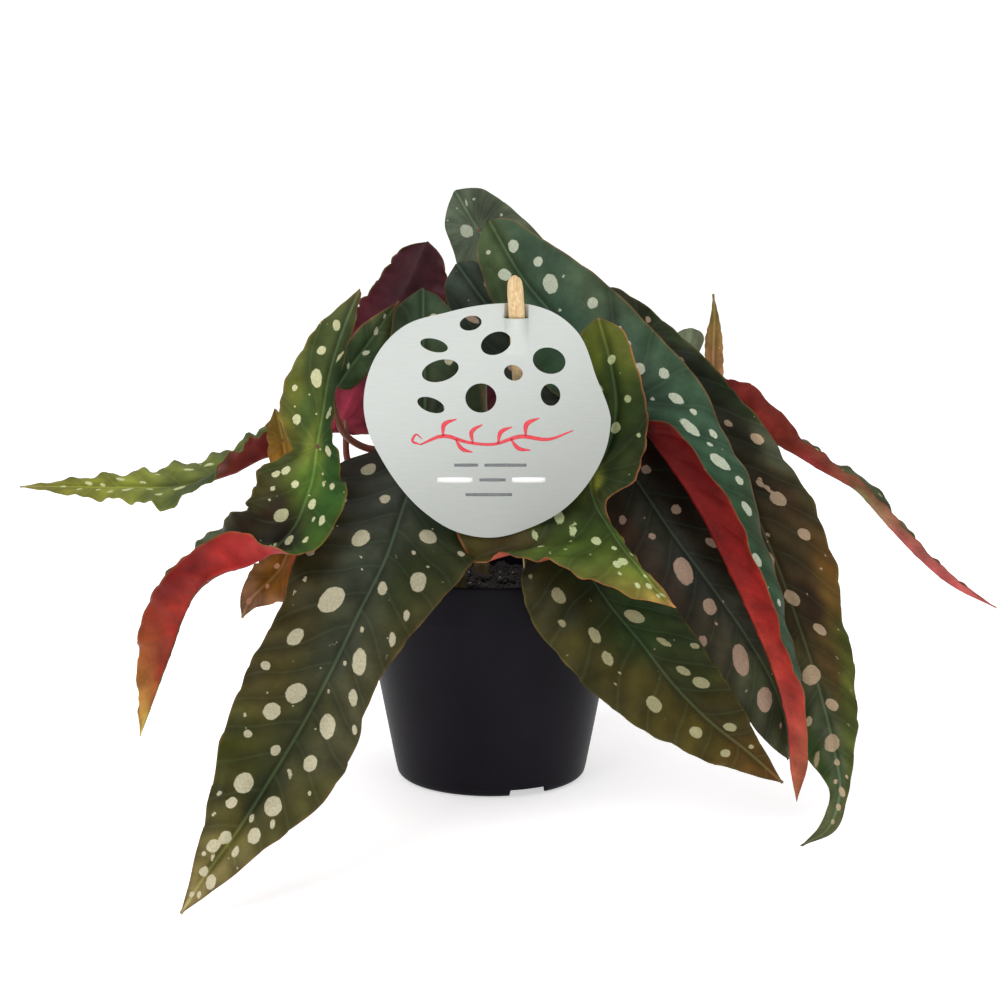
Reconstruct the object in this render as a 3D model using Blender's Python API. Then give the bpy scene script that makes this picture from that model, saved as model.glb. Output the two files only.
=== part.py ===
"""Potted polka dot begonia: a nursery pot of soil, four canes, spotted angel-wing leaves on their
petioles, and a round card held up by a wooden stick.

The frame's origin is the centre of the pot's flat base, +Z is up, and the card faces -Y. Tables are
written in millimetres, and MM turns them into metres.
"""

from math import cos, pi, radians, sin, sqrt, tau

import bmesh
import bpy
import numpy as np
from mathutils import Vector
from mathutils.geometry import delaunay_2d_cdt

MM = 0.001

# Nursery pot, turned about Z.
POT_HEIGHT = 96.0
POT_TOP_RADIUS = 60.5
POT_BASE_RADIUS = 43.2
POT_TAPER_FROM = 4.4
POT_TAPER = 0.19
POT_WALL = 1.5
POT_FLOOR = 4.6
POT_BAND_HEIGHT = 19.0
POT_PAD_RADIUS = 33.0
POT_GROOVE_DEPTH = 3.0
POT_SIDES = 48
FOOT_NOTCH_ANGLES = (-66.5, 53.5, 173.5)
FOOT_NOTCH_HALF_ANGLE = 12.0

# Soil, with a socket for each cane and for the stick.
GAP = 0.4
SOIL_TOP = 84.5
SOIL_BUMP = 0.9
SOIL_SIDES = 40
SOCKET_SIDES = 10

# Wooden stick, leaning towards the front.
STICK_RADIUS = 3.2
STICK_FOOT = (19.0, -38.0, 70.0)
STICK_TOP = (9.7, -93.4, 226.3)
STICK_SIDES = 14

# Card: a round sheet with a wavy outline, nine oval cut-outs, and a slit that the stick is pushed through.
CARD_CENTRE = (-0.8, -86.4, 169.2)
CARD_LEAN = 0.03
CARD_THICKNESS = 0.7
CARD_POINTS = 64
CARD_OUTLINE = ((1, 49.0), (22, 46.5), (46, 50.2), (55, 50.5), (70, 49.2), (81, 47.4), (96, 46.0),
                (111, 46.2), (132, 50.4), (147, 51.4), (163, 50.8), (172, 50.0), (186, 47.8), (199, 45.4),
                (214, 44.3), (234, 44.9), (255, 46.8), (272, 47.4), (292, 46.5), (308, 46.9),
                (329, 47.4), (351, 48.7))
# Cut-outs: centre across and up from the card's centre, the two half axes, and a turn in degrees.
CARD_HOLES = ((-6.8, 39.0, 4.4, 2.9, 12), (-21.3, 30.2, 5.6, 2.6, -14), (3.2, 31.0, 6.2, 4.4, 22),
              (-18.9, 20.1, 7.5, 4.3, 16), (24.3, 24.1, 6.6, 5.2, -15), (10.1, 19.3, 3.8, 3.1, -18),
              (-2.8, 9.2, 6.2, 5.9, 0), (-22.7, 6.4, 5.7, 2.9, -20), (24.9, 10.5, 3.9, 4.5, 10))
CARD_HOLE_POINTS = 14
CARD_SLIT = (11.2, 41.2)
CARD_SLIT_HALF_WIDTH = 4.8
CARD_SLIT_HALF_HEIGHT = 0.25
CARD_LIP_BACK = 4.4
CARD_LIP_FRONT = 5.0
CARD_LIP_REACH = 14.5

# Leaf blades and petioles.
BLADE_THICKNESS = 0.9
BLADE_STATIONS = 15
BLADE_COLUMNS = 3
BELLY = 0.05
FLATTER = {"leaf_front_bright": 0.015}
LEAST_HALF_WIDTH = 0.6
PETIOLE_RADII = (1.9, 1.3)
PETIOLE_STATIONS = 9
PETIOLE_SIDES = 7
CANE_STATIONS = 8
CANE_SIDES = 10

SOIL_BROWN = (0.030, 0.022, 0.018)
POT_BLACK = (0.012, 0.011, 0.014)
CARD_SILVER = (0.70, 0.72, 0.73)
WOOD_PALE = (0.72, 0.55, 0.36)
CANE_GREEN = (0.13, 0.17, 0.05)
PETIOLE_RED = (0.28, 0.05, 0.04)
LEAF_GREEN = (0.045, 0.085, 0.030)

# Leaves seen from the front and sides: rows from the ear's end to the tip, each a point on the midrib, one
# on the left margin and one on the right, in mm. Left and right are as seen on the upper, spotted face with
# the tip down. The last row is the tip alone.
LEAVES = {
    "leaf_front_left": (
        ((-29, -18, 219), (-40, -18, 214), (-18, -18, 214)),
        ((-29, -22, 197), (-44, -22, 195), (-9, -24, 195)),
        ((-28, -30, 174), (-44, -30, 173), (-3, -32, 170)),
        ((-29, -40, 158), (-37, -38, 160), (-1, -42, 152)),
        ((-31, -54, 146), (-62, -49, 149), (0, -52, 134)),
        ((-36, -74, 131), (-67, -67, 139), (-1, -68, 118)),
        ((-42, -95, 114), (-72, -86, 126), (-11, -94, 107)),
        ((-51, -112, 97), (-79, -104, 111), (-28, -114, 91)),
        ((-60, -127, 79), (-87, -120, 88), (-44, -130, 70)),
        ((-70, -143, 61), (-95, -136, 75), (-50, -146, 52)),
        ((-81, -158, 44), (-100, -152, 57), (-61, -162, 36)),
        ((-92, -172, 28), (-104, -168, 37), (-80, -176, 23)),
        ((-103, -182, 14), (-107, -180, 18), (-97, -184, 11)), ((-111, -188, 2),)),
    "leaf_left_mid": (
        ((-54, -50, 220), (-55, -50, 219), (-53, -50, 219)),
        ((-60, -62, 204), (-70, -66, 206), (-57, -58, 202)),
        ((-65, -74, 186), (-82, -80, 185), (-61, -68, 187)),
        ((-67, -82, 171), (-84, -89, 170), (-64, -76, 169)),
        ((-69, -87, 159), (-80, -91, 157), (-62, -80, 158)),
        ((-70, -92, 149), (-91, -89, 151), (-60, -84, 149)),
        ((-73, -99, 138), (-94, -95, 144), (-57, -90, 142)),
        ((-77, -105, 129), (-96, -96, 137), (-60, -100, 131)),
        ((-85, -110, 121), (-99, -93, 134), (-71, -112, 119)),
        ((-93, -111, 116), (-105, -88, 131), (-84, -118, 125)),
        ((-106, -106, 111), (-114, -81, 122), (-103, -108, 128)),
        ((-117, -98, 102), (-126, -75, 112), (-123, -98, 115)),
        ((-124, -90, 90), (-136, -69, 97), (-137, -86, 99)),
        ((-130, -82, 75), (-143, -63, 80), (-145, -75, 79)),
        ((-138, -74, 56), (-147, -61, 58), (-147, -69, 56)), ((-147, -66, 34),)),
    "leaf_left_rear": (
        ((-29, 34, 238), (-20, 34, 232), (-40, 34, 238)),
        ((-40, 28, 213), (-20, 30, 207), (-53, 26, 220)),
        ((-52, 20, 190), (-29, 22, 178), (-67, 16, 201)),
        ((-62, 8, 170), (-44, 12, 157), (-77, 4, 181)),
        ((-68, -4, 158), (-60, 1, 153), (-82, -6, 172)),
        ((-76, -12, 153), (-77, -3, 157), (-86, -17, 168)),
        ((-86, -20, 150), (-90, -3, 159), (-92, -26, 163)),
        ((-98, -27, 147), (-101, -8, 158), (-99, -34, 158)),
        ((-111, -34, 141), (-111, -14, 151), (-108, -41, 152)),
        ((-122, -38, 138), (-122, -18, 146), (-118, -52, 141)),
        ((-135, -41, 136), (-138, -22, 143), (-133, -60, 130)),
        ((-149, -42, 136), (-151, -28, 141), (-147, -57, 132)),
        ((-166, -41, 136), (-167, -32, 140), (-165, -50, 132)),
        ((-183, -40, 136), (-184, -35, 138), (-183, -45, 134)), ((-200, -40, 136),)),
    "leaf_left_inner": (
        ((-65, -35, 178), (-61, -35, 175), (-68, -35, 181)),
        ((-59, -30, 187), (-52, -29, 183), (-63, -31, 193)),
        ((-53, -24, 195), (-47, -22, 191), (-57, -26, 202)),
        ((-46, -18, 205), (-42, -16, 201), (-49, -20, 208)), ((-40, -10, 213),)),
    "leaf_left_young": (
        ((-91, -38, 169), (-94, -38, 165), (-88, -38, 165)),
        ((-88, -40, 156), (-95, -40, 156), (-81, -40, 156)),
        ((-85, -46, 135), (-92, -45, 135), (-75, -46, 135)),
        ((-84, -54, 115), (-96, -52, 117), (-74, -58, 112)),
        ((-88, -60, 104), (-98, -58, 108), (-81, -62, 92)),
        ((-95, -64, 97), (-101, -62, 102), (-89, -64, 90)),
        ((-100, -66, 92), (-104, -66, 94), (-97, -66, 89)), ((-103, -68, 85),)),
    "leaf_top_rear": (
        ((-17, 58, 261), (-24, 58, 250), (-8, 58, 264)), ((-6, 54, 243), (-18, 54, 234), (6, 54, 256)),
        ((6, 48, 226), (-12, 48, 215), (22, 48, 241)), ((20, 40, 207), (2, 40, 195), (38, 40, 220)),
        ((34, 32, 187), (18, 32, 175), (50, 32, 198)), ((50, 24, 162), (38, 24, 155), (61, 24, 174)),
        ((67, 15, 136),)),
    "leaf_right_main": (
        ((-1, -3, 248), (-7, -3, 240), (7, -4, 250)), ((14, -12, 223), (-1, -8, 215), (29, -14, 236)),
        ((30, -24, 204), (13, -18, 192), (49, -28, 222)),
        ((45, -40, 185), (30, -34, 173), (68, -42, 203)),
        ((56, -54, 171), (52, -52, 168), (84, -51, 186)),
        ((68, -71, 157), (73, -83, 166), (97, -59, 162)),
        ((85, -84, 132), (94, -98, 139), (109, -66, 135)),
        ((96, -91, 110), (105, -105, 117), (116, -72, 107)),
        ((105, -95, 91), (112, -107, 96), (122, -77, 87)),
        ((115, -96, 67), (121, -107, 72), (126, -82, 64)),
        ((121, -93, 45), (127, -101, 50), (128, -85, 42)),
        ((123, -89, 27), (129, -94, 31), (129, -85, 24)), ((126, -86, 12),)),
    "leaf_right_dark": (
        ((-15, 0, 229), (-21, 0, 222), (-9, 0, 233)), ((0, -4, 209), (-17, -4, 204), (9, -4, 218)),
        ((17, -11, 191), (0, -11, 181), (30, -11, 199)),
        ((38, -26, 169), (23, -27, 153), (45, -26, 175)),
        ((60, -51, 142), (42, -56, 129), (78, -46, 154)),
        ((76, -64, 119), (54, -70, 110), (94, -54, 129)),
        ((92, -74, 98), (72, -82, 87), (108, -62, 106)),
        ((106, -80, 78), (90, -88, 67), (117, -68, 85)),
        ((117, -83, 58), (104, -90, 48), (125, -74, 62)),
        ((122, -82, 41), (115, -86, 35), (127, -77, 43)), ((123, -80, 28),)),
    "leaf_front_low": (
        ((29, -52, 133), (22, -54, 129), (36, -50, 134)),
        ((33, -62, 124), (17, -66, 118), (45, -60, 123)),
        ((38, -77, 110), (13, -76, 108), (57, -79, 109)),
        ((48, -87, 95), (15, -86, 91), (71, -90, 99)), ((61, -94, 80), (29, -95, 73), (81, -94, 86)),
        ((73, -99, 65), (49, -99, 54), (90, -98, 73)),
        ((88, -102, 50), (73, -102, 40), (100, -101, 58)),
        ((104, -102, 37), (94, -102, 31), (108, -101, 42)), ((118, -100, 24),)),
    "leaf_right_brown": (
        ((51, 18, 217), (44, 18, 210), (54, 18, 220)), ((67, 12, 197), (51, 12, 186), (77, 12, 204)),
        ((86, 2, 171), (66, 2, 158), (103, 0, 179)),
        ((105, -12, 142), (85, -12, 127), (128, -12, 147)),
        ((120, -30, 110), (99, -28, 97), (146, -30, 112)),
        ((130, -48, 81), (111, -44, 68), (151, -48, 78)),
        ((137, -66, 56), (122, -62, 46), (153, -68, 54)),
        ((141, -82, 35), (131, -80, 29), (150, -84, 34)),
        ((142, -95, 18), (138, -93, 17), (145, -96, 17)),
        ((135, -106, 6), (132, -106, 8), (138, -107, 6)), ((124, -113, 2),)),
    "leaf_front_bright": (
        ((44, -66, 209), (35, -66, 205), (53, -67, 207)),
        ((49, -70, 190), (37, -68, 188), (58, -72, 195)),
        ((51, -74, 172), (32, -73, 168), (64, -76, 171)),
        ((47, -76, 156), (27, -74, 151), (62, -77, 153)),
        ((41, -76, 146), (16, -72, 145), (57, -78, 142)),
        ((41, -78, 140), (0, -72, 139), (49, -79, 138)),
        ((43, -81, 134), (-13, -75, 129), (47, -83, 133)),
        ((47, -89, 128), (-8, -84, 113), (51, -92, 125)),
        ((52, -100, 121), (12, -94, 116), (56, -103, 119)),
        ((58, -112, 115), (31, -110, 113), (61, -114, 113)),
        ((64, -120, 108), (48, -120, 107), (67, -122, 108)), ((71, -128, 102),)),
    "leaf_far_right": (
        ((90, 30, 172), (94, 28, 178), (95, 38, 172)),
        ((104, 25, 163), (109, 20, 177), (114, 34, 168)),
        ((118, 18, 154), (122, 12, 171), (128, 30, 161)),
        ((132, 12, 147), (137, 6, 154), (141, 24, 150)),
        ((149, 6, 137), (153, 1, 141), (156, 15, 139)), ((163, 1, 129), (167, -3, 131), (170, 8, 132)),
        ((175, -2, 116), (180, -6, 117), (182, 5, 117)),
        ((188, -5, 102), (192, -9, 104), (194, 2, 102)), ((204, -7, 88), (206, -9, 91), (208, -1, 89)),
        ((225, -10, 77),)),
    "leaf_right_tip": (
        ((104, 44, 168), (108, 44, 168), (100, 44, 168)),
        ((103, 44, 181), (108, 44, 180), (99, 44, 182)),
        ((103, 43, 195), (107, 43, 194), (99, 43, 195)),
        ((103, 42, 204), (105, 42, 204), (101, 42, 203)), ((102, 40, 214),)),
}

# Leaves at the back: midrib points, half widths on each side, and how much each half sags, all in mm.
REAR_LEAVES = {
    "leaf_rear_left": (
        ((-26, 74, 212), (-28, 86, 190), (-32, 102, 160), (-38, 122, 122), (-44, 140, 88), (-47, 152, 58)),
        (9, 19, 22, 21, 13, 0), (9, 6, 21, 20, 12, 0), 5),
    "leaf_rear_mid": (
        ((8, 88, 218), (10, 104, 196), (13, 126, 164), (15, 150, 126), (16, 172, 88), (16, 188, 52)),
        (10, 20, 24, 22, 13, 0), (9, 7, 22, 21, 12, 0), 5),
    "leaf_rear_right": (
        ((94, 62, 197), (92, 76, 174), (98, 96, 148), (106, 116, 118), (113, 130, 94), (118, 140, 72)),
        (8, 6, 18, 17, 10, 0), (8, 16, 18, 17, 10, 0), 4),
    "leaf_rear_low_left": (
        ((-14, 66, 140), (-20, 78, 124), (-26, 94, 98), (-31, 108, 70), (-35, 118, 44), (-37, 124, 22)),
        (8, 16, 19, 17, 11, 0), (8, 6, 17, 16, 10, 0), 4),
    "leaf_rear_low_right": (
        ((44, 70, 150), (48, 84, 130), (54, 100, 104), (59, 114, 76), (62, 124, 50), (63, 130, 28)),
        (8, 6, 18, 17, 11, 0), (8, 17, 19, 18, 11, 0), 4),
}

# Canes: points from inside the soil to the growing end, in mm, with the radius at each end.
CANES = {
    "cane_left": (((-13, -2, 74), (-16, 1, 100), (-21, 4, 130), (-27, 5, 160)), 3.6, 2.8),
    "cane_right": (((16, 0, 74), (19, 1, 100), (24, 2, 130), (31, 2, 166)), 3.8, 2.8),
    "cane_mid": (((-4, 22, 74), (-5, 34, 110), (-5, 50, 160), (-6, 66, 212)), 3.8, 2.8),
    "cane_rear": (((20, 24, 74), (26, 34, 105), (33, 48, 140), (39, 58, 172)), 3.5, 2.7),
}

# Petioles: the leaf, the row where it joins the blade, and the points from the cane to just under it, in mm.
PETIOLES = {
    "petiole_front_left": ("leaf_front_left", 3, ((-21, -1, 132), (-25, -18, 138), (-29, -30, 148))),
    "petiole_left_mid": ("leaf_left_mid", 4,
        ((-25, 0, 134), (-46, -22, 134), (-66, -44, 140), (-72, -62, 146), (-71, -76, 152))),
    "petiole_left_rear": ("leaf_left_rear", 4, ((-26, 3, 142), (-46, -4, 136), (-62, -12, 142))),
    "petiole_left_inner": ("leaf_left_inner", 0, ((-31, 4, 154), (-50, -10, 148), (-64, -24, 158))),
    "petiole_left_young": ("leaf_left_young", 1, ((-21, 0, 118), (-48, -12, 122), (-76, -24, 140))),
    "petiole_top_rear": ("leaf_top_rear", 1, ((-16, 72, 194), (-16, 76, 212), (-10, 72, 230))),
    "petiole_right_main": ("leaf_right_main", 4, ((34, -2, 163), (46, -14, 177), (54, -32, 179))),
    "petiole_right_dark": ("leaf_right_dark", 3, ((28, -2, 150), (32, -10, 156), (36, -20, 164))),
    "petiole_front_low": ("leaf_front_low", 1, ((22, -2, 112), (26, -24, 112), (31, -46, 116))),
    "petiole_right_brown": ("leaf_right_brown", 1, ((34, 5, 160), (46, 20, 176), (60, 24, 192))),
    "petiole_front_bright": ("leaf_front_bright", 4,
        ((22, -2, 125), (20, -28, 140), (24, -54, 146), (36, -70, 146))),
    "petiole_far_right": ("leaf_far_right", 0, ((40, 48, 150), (64, 42, 150), (82, 36, 162))),
    "petiole_right_tip": ("leaf_right_tip", 0, ((44, 58, 164), (72, 64, 160), (98, 56, 162))),
    "petiole_rear_left": ("leaf_rear_left", 1, ((-9, 54, 160), (-24, 66, 176), (-34, 76, 182))),
    "petiole_rear_mid": ("leaf_rear_mid", 1, ((-3, 64, 180), (4, 80, 188), (8, 92, 188))),
    "petiole_rear_right": ("leaf_rear_right", 1, ((43, 60, 160), (66, 70, 158), (86, 72, 164))),
    "petiole_rear_low_left": ("leaf_rear_low_left", 1, ((-8, 42, 120), (-14, 54, 122), (-18, 66, 116))),
    "petiole_rear_low_right": ("leaf_rear_low_right", 1, ((37, 48, 125), (44, 60, 126), (46, 72, 122))),
}


def material(name, colour, roughness):
    mat = bpy.data.materials.new(name)
    mat.use_nodes = True
    shader = mat.node_tree.nodes["Principled BSDF"]
    shader.inputs["Base Color"].default_value = (*colour, 1.0)
    shader.inputs["Roughness"].default_value = roughness
    mat.diffuse_color = (*colour, 1.0)
    return mat


def add_object(name, verts, faces, mat):
    mesh = bpy.data.meshes.new(name)
    mesh.from_pydata([tuple(float(c) for c in v) for v in verts], [], faces)
    bm = bmesh.new()
    bm.from_mesh(mesh)
    bmesh.ops.triangulate(bm, faces=bm.faces[:])
    bmesh.ops.recalc_face_normals(bm, faces=bm.faces[:])
    if bm.calc_volume(signed=True) < 0:
        bmesh.ops.reverse_faces(bm, faces=bm.faces[:])
    bm.to_mesh(mesh)
    bm.free()
    mesh.materials.append(mat)
    obj = bpy.data.objects.new(name, mesh)
    bpy.context.scene.collection.objects.link(obj)
    return obj


def unit(vectors):
    length = np.linalg.norm(vectors, axis=-1, keepdims=True)
    return vectors / np.maximum(length, 1e-9)


def through(knots, values, at):
    """A smooth curve through the values at the knots, read at other places along it."""
    values = np.asarray(values, float)
    slope = np.gradient(values, knots, axis=0)
    k = np.clip(np.searchsorted(knots, at, side="right") - 1, 0, len(knots) - 2)
    span = (knots[k + 1] - knots[k])[:, None]
    u = ((at - knots[k])[:, None]) / span
    return ((2 * u**3 - 3 * u**2 + 1) * values[k] + (u**3 - 2 * u**2 + u) * span * slope[k]
            + (3 * u**2 - 2 * u**3) * values[k + 1] + (u**3 - u**2) * span * slope[k + 1])


def chords(points):
    steps = np.linalg.norm(np.diff(np.asarray(points, float), axis=0), axis=1)
    return np.concatenate([[0.0], np.cumsum(steps)])


def keep_width(offset, least):
    length = np.linalg.norm(offset, axis=1, keepdims=True)
    return offset * np.maximum(1.0, least / np.maximum(length, 1e-6))


def leaf_surface(rows, stations, columns, belly=BELLY):
    """Grid of points over a blade, from the ear's end to the tip and from the left margin to the right."""
    mid, left, right = (np.array([row[k % len(row)] for row in rows], float) for k in range(3))
    knots = chords(mid)
    reach = knots[-1]
    ease = np.linspace(0.0, 1.0, stations)
    at = reach * (ease + 0.045 * np.sin(tau * (0.5 - ease)) * -1.0)
    at[0], at[-1] = 0.0, reach
    spine = through(knots, mid, at)
    along = unit(np.gradient(spine, at, axis=0))
    side_a = through(knots, left - mid, at)
    side_b = through(knots, right - mid, at)
    cap = 0.8 * (np.linalg.norm(left[0] - mid[0]) + np.linalg.norm(right[0] - mid[0])) / 2 + 1.0
    rounding = (1.0 - (1.0 - np.clip(at / cap, 0.0, 1.0)) ** 2.4)[:, None] ** 0.45
    tail = unit((right - left)[-2:-1])
    side_a = side_a * rounding + 0.02 * -tail
    side_b = side_b * rounding + 0.02 * tail
    side_a = keep_width(side_a, LEAST_HALF_WIDTH)
    side_b = keep_width(side_b, LEAST_HALF_WIDTH)
    up_a = unit(np.cross(along, -side_a))
    up_b = unit(np.cross(along, side_b))
    grid = np.zeros((stations, 2 * columns + 1, 3))
    for j in range(-columns, columns + 1):
        t = abs(j) / columns
        side, up = (side_a, up_a) if j < 0 else (side_b, up_b)
        width = np.linalg.norm(side, axis=1, keepdims=True)
        grid[:, j + columns] = spine + t * side + belly * 4 * t * (1 - t) * width * up
    return grid


def grid_normals(grid):
    return unit(np.cross(np.gradient(grid, axis=0), np.gradient(grid, axis=1)))


def sheet(grid, thickness):
    """A closed skin around a grid of points: an upper side, an under side and a rim."""
    rows, cols = grid.shape[:2]
    lift = grid_normals(grid) * thickness / 2
    verts = np.concatenate([(grid + lift).reshape(-1, 3), (grid - lift).reshape(-1, 3)])
    under = rows * cols
    faces = []
    for i in range(rows - 1):
        for j in range(cols - 1):
            a, b, c, d = i * cols + j, i * cols + j + 1, (i + 1) * cols + j + 1, (i + 1) * cols + j
            faces.append((a, b, c, d))
            faces.append((under + d, under + c, under + b, under + a))
    edge = list(range(cols)) + [i * cols + cols - 1 for i in range(1, rows)]
    edge += [(rows - 1) * cols + j for j in range(cols - 2, -1, -1)]
    edge += [i * cols for i in range(rows - 2, 0, -1)]
    for a, b in zip(edge, edge[1:] + edge[:1]):
        faces.append((b, a, under + a, under + b))
    return verts, faces


def rear_rows(mids, left, right, sag):
    """Rows for a leaf that hangs away from the plant at the back, its upper face outwards."""
    mids = np.array(mids, float)
    along = unit(np.gradient(mids, axis=0))
    outward = np.array([0.15 * np.sign(mids[-1][0] - mids[0][0]), 1.0, 0.9])
    across = unit(np.cross(unit(outward), along))
    up = unit(np.cross(along, across))
    rows = []
    for k, mid in enumerate(mids):
        drop = -sag * up[k]
        halves = ((-1, left[k]), (1, right[k]))
        spread = [mid + side * width * across[k] + drop * width / 20 for side, width in halves]
        rows.append((mid, *spread))
    return rows


def tube(points, radii, sides):
    """A closed round bar along points."""
    points = np.asarray(points, float)
    along = unit(np.gradient(points, axis=0))
    across = unit(np.cross(along[0], (0.31, 0.17, 0.94) if abs(along[0][2]) < 0.9 else (0.0, 1.0, 0.0)))
    verts, rings = [], []
    for point, direction, radius in zip(points, along, radii):
        across = unit(across - direction * np.dot(across, direction))
        other = np.cross(direction, across)
        rings.append(range(len(verts), len(verts) + sides))
        for k in range(sides):
            verts.append(point + radius * (cos(tau * k / sides) * across + sin(tau * k / sides) * other))
    faces = [tuple(reversed(rings[0])), tuple(rings[-1])]
    for low, high in zip(rings, rings[1:]):
        for k in range(sides):
            faces.append((low[k], low[(k + 1) % sides], high[(k + 1) % sides], high[k]))
    return verts, faces


def lathe(profile, sides):
    """A closed body turned about Z; the profile starts and ends on the axis."""
    verts = [(0.0, 0.0, profile[0][1])]
    for radius, z in profile[1:-1]:
        verts += [(radius * cos(a), radius * sin(a), z) for a in sides]
    verts.append((0.0, 0.0, profile[-1][1]))
    n, rings = len(sides), len(profile) - 2
    faces = [(0, 1 + (k + 1) % n, 1 + k) for k in range(n)]
    for r in range(rings - 1):
        base = 1 + r * n
        faces += [(base + k, base + (k + 1) % n, base + n + (k + 1) % n, base + n + k) for k in range(n)]
    last = 1 + (rings - 1) * n
    faces += [(last + k, last + (k + 1) % n, len(verts) - 1) for k in range(n)]
    return verts, faces


def scaled(verts):
    return [Vector([float(c) * MM for c in v]) for v in verts]


def pot_columns():
    """Angles of the pot's columns, with a close pair at each side of each foot notch."""
    half = radians(FOOT_NOTCH_HALF_ANGLE)
    edges = [radians(a) + side * half for a in FOOT_NOTCH_ANGLES for side in (-1, 1)]
    angles = [tau * k / POT_SIDES for k in range(POT_SIDES)]
    angles = [a for a in angles if all(abs((a - e + pi) % tau - pi) > radians(3) for e in edges)]
    pairs = [e + nudge for e in edges for nudge in (-radians(0.25), radians(0.25))]
    return sorted(a % tau for a in angles + pairs)


def in_notch(angle):
    half = radians(FOOT_NOTCH_HALF_ANGLE)
    return any(abs((angle - radians(a) + pi) % tau - pi) < half for a in FOOT_NOTCH_ANGLES)


def pot_wall(z):
    return POT_BASE_RADIUS + POT_TAPER * (z - POT_TAPER_FROM)


def build_pot():
    band = POT_HEIGHT - POT_BAND_HEIGHT
    inner_top, inner_low = pot_wall(95.2) - POT_WALL, pot_wall(5.6) - POT_WALL
    profile = [(0, 0), (POT_PAD_RADIUS, 0), (POT_PAD_RADIUS + 0.6, POT_GROOVE_DEPTH),
               (39.2, POT_GROOVE_DEPTH), (39.8, 0), (41.0, 0), (42.4, 1.2),
               (POT_BASE_RADIUS, POT_TAPER_FROM), (pot_wall(band), band),
               (pot_wall(band) + 1.1, band + 0.3), (POT_TOP_RADIUS, 95.2),
               (POT_TOP_RADIUS - 0.3, POT_HEIGHT), (inner_top + 0.4, POT_HEIGHT), (inner_top, 95.2),
               (inner_low, 5.6), (inner_low - 1.2, POT_FLOOR), (0, POT_FLOOR)]
    columns = pot_columns()
    verts, faces = lathe(profile, columns)
    foot = {4, 5, 6}
    raised = []
    for index, (x, y, z) in enumerate(verts):
        ring = (index - 1) // len(columns) + 1
        if 0 < index < len(verts) - 1 and ring in foot and in_notch(columns[(index - 1) % len(columns)]):
            z = max(z, POT_GROOVE_DEPTH)
        raised.append((x, y, z))
    return raised, faces


def soil_height(x, y):
    return SOIL_TOP + SOIL_BUMP * (sin(0.21 * x + 0.6) * cos(0.17 * y) + 0.5 * sin(0.37 * y - 0.29 * x))


def axis_at(points, z):
    points = np.asarray(points, float)
    return np.array([np.interp(z, points[:, 2], points[:, k]) for k in range(2)] + [z])


def sockets():
    """Centre line and radius of each thing that stands in the soil."""
    standing = [(points, radius) for points, radius, _ in CANES.values()]
    return standing + [((STICK_FOOT, STICK_TOP), STICK_RADIUS)]


def filled(outline, holes, inner):
    """Triangles between an outline and its holes, through the inner points."""
    points, edges = [], []
    for loop in [outline] + holes:
        first, n = len(points), len(loop)
        points += [Vector((float(p[0]), float(p[1]))) for p in loop]
        edges += [(first + k, first + (k + 1) % n) for k in range(n)]
    points += [Vector((float(p[0]), float(p[1]))) for p in inner]
    count = len(points)
    out, _, tris, _, _, _ = delaunay_2d_cdt(points, edges, [], 0, 1e-5)

    def inside(loop, x, y):
        hit = False
        for (x0, y0), (x1, y1) in zip(loop, loop[1:] + loop[:1]):
            if (y0 > y) != (y1 > y) and x < (x1 - x0) * (y - y0) / (y1 - y0) + x0:
                hit = not hit
        return hit

    loops = [[(float(p[0]), float(p[1])) for p in loop] for loop in [outline] + holes]
    kept = []
    for tri in tris:
        cx, cy = (sum(out[k][axis] for k in tri) / 3 for axis in (0, 1))
        if inside(loops[0], cx, cy) and not any(inside(loop, cx, cy) for loop in loops[1:]):
            kept.append(tuple(tri))
    assert len(out) == count
    return [(p.x, p.y) for p in out], kept


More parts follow.
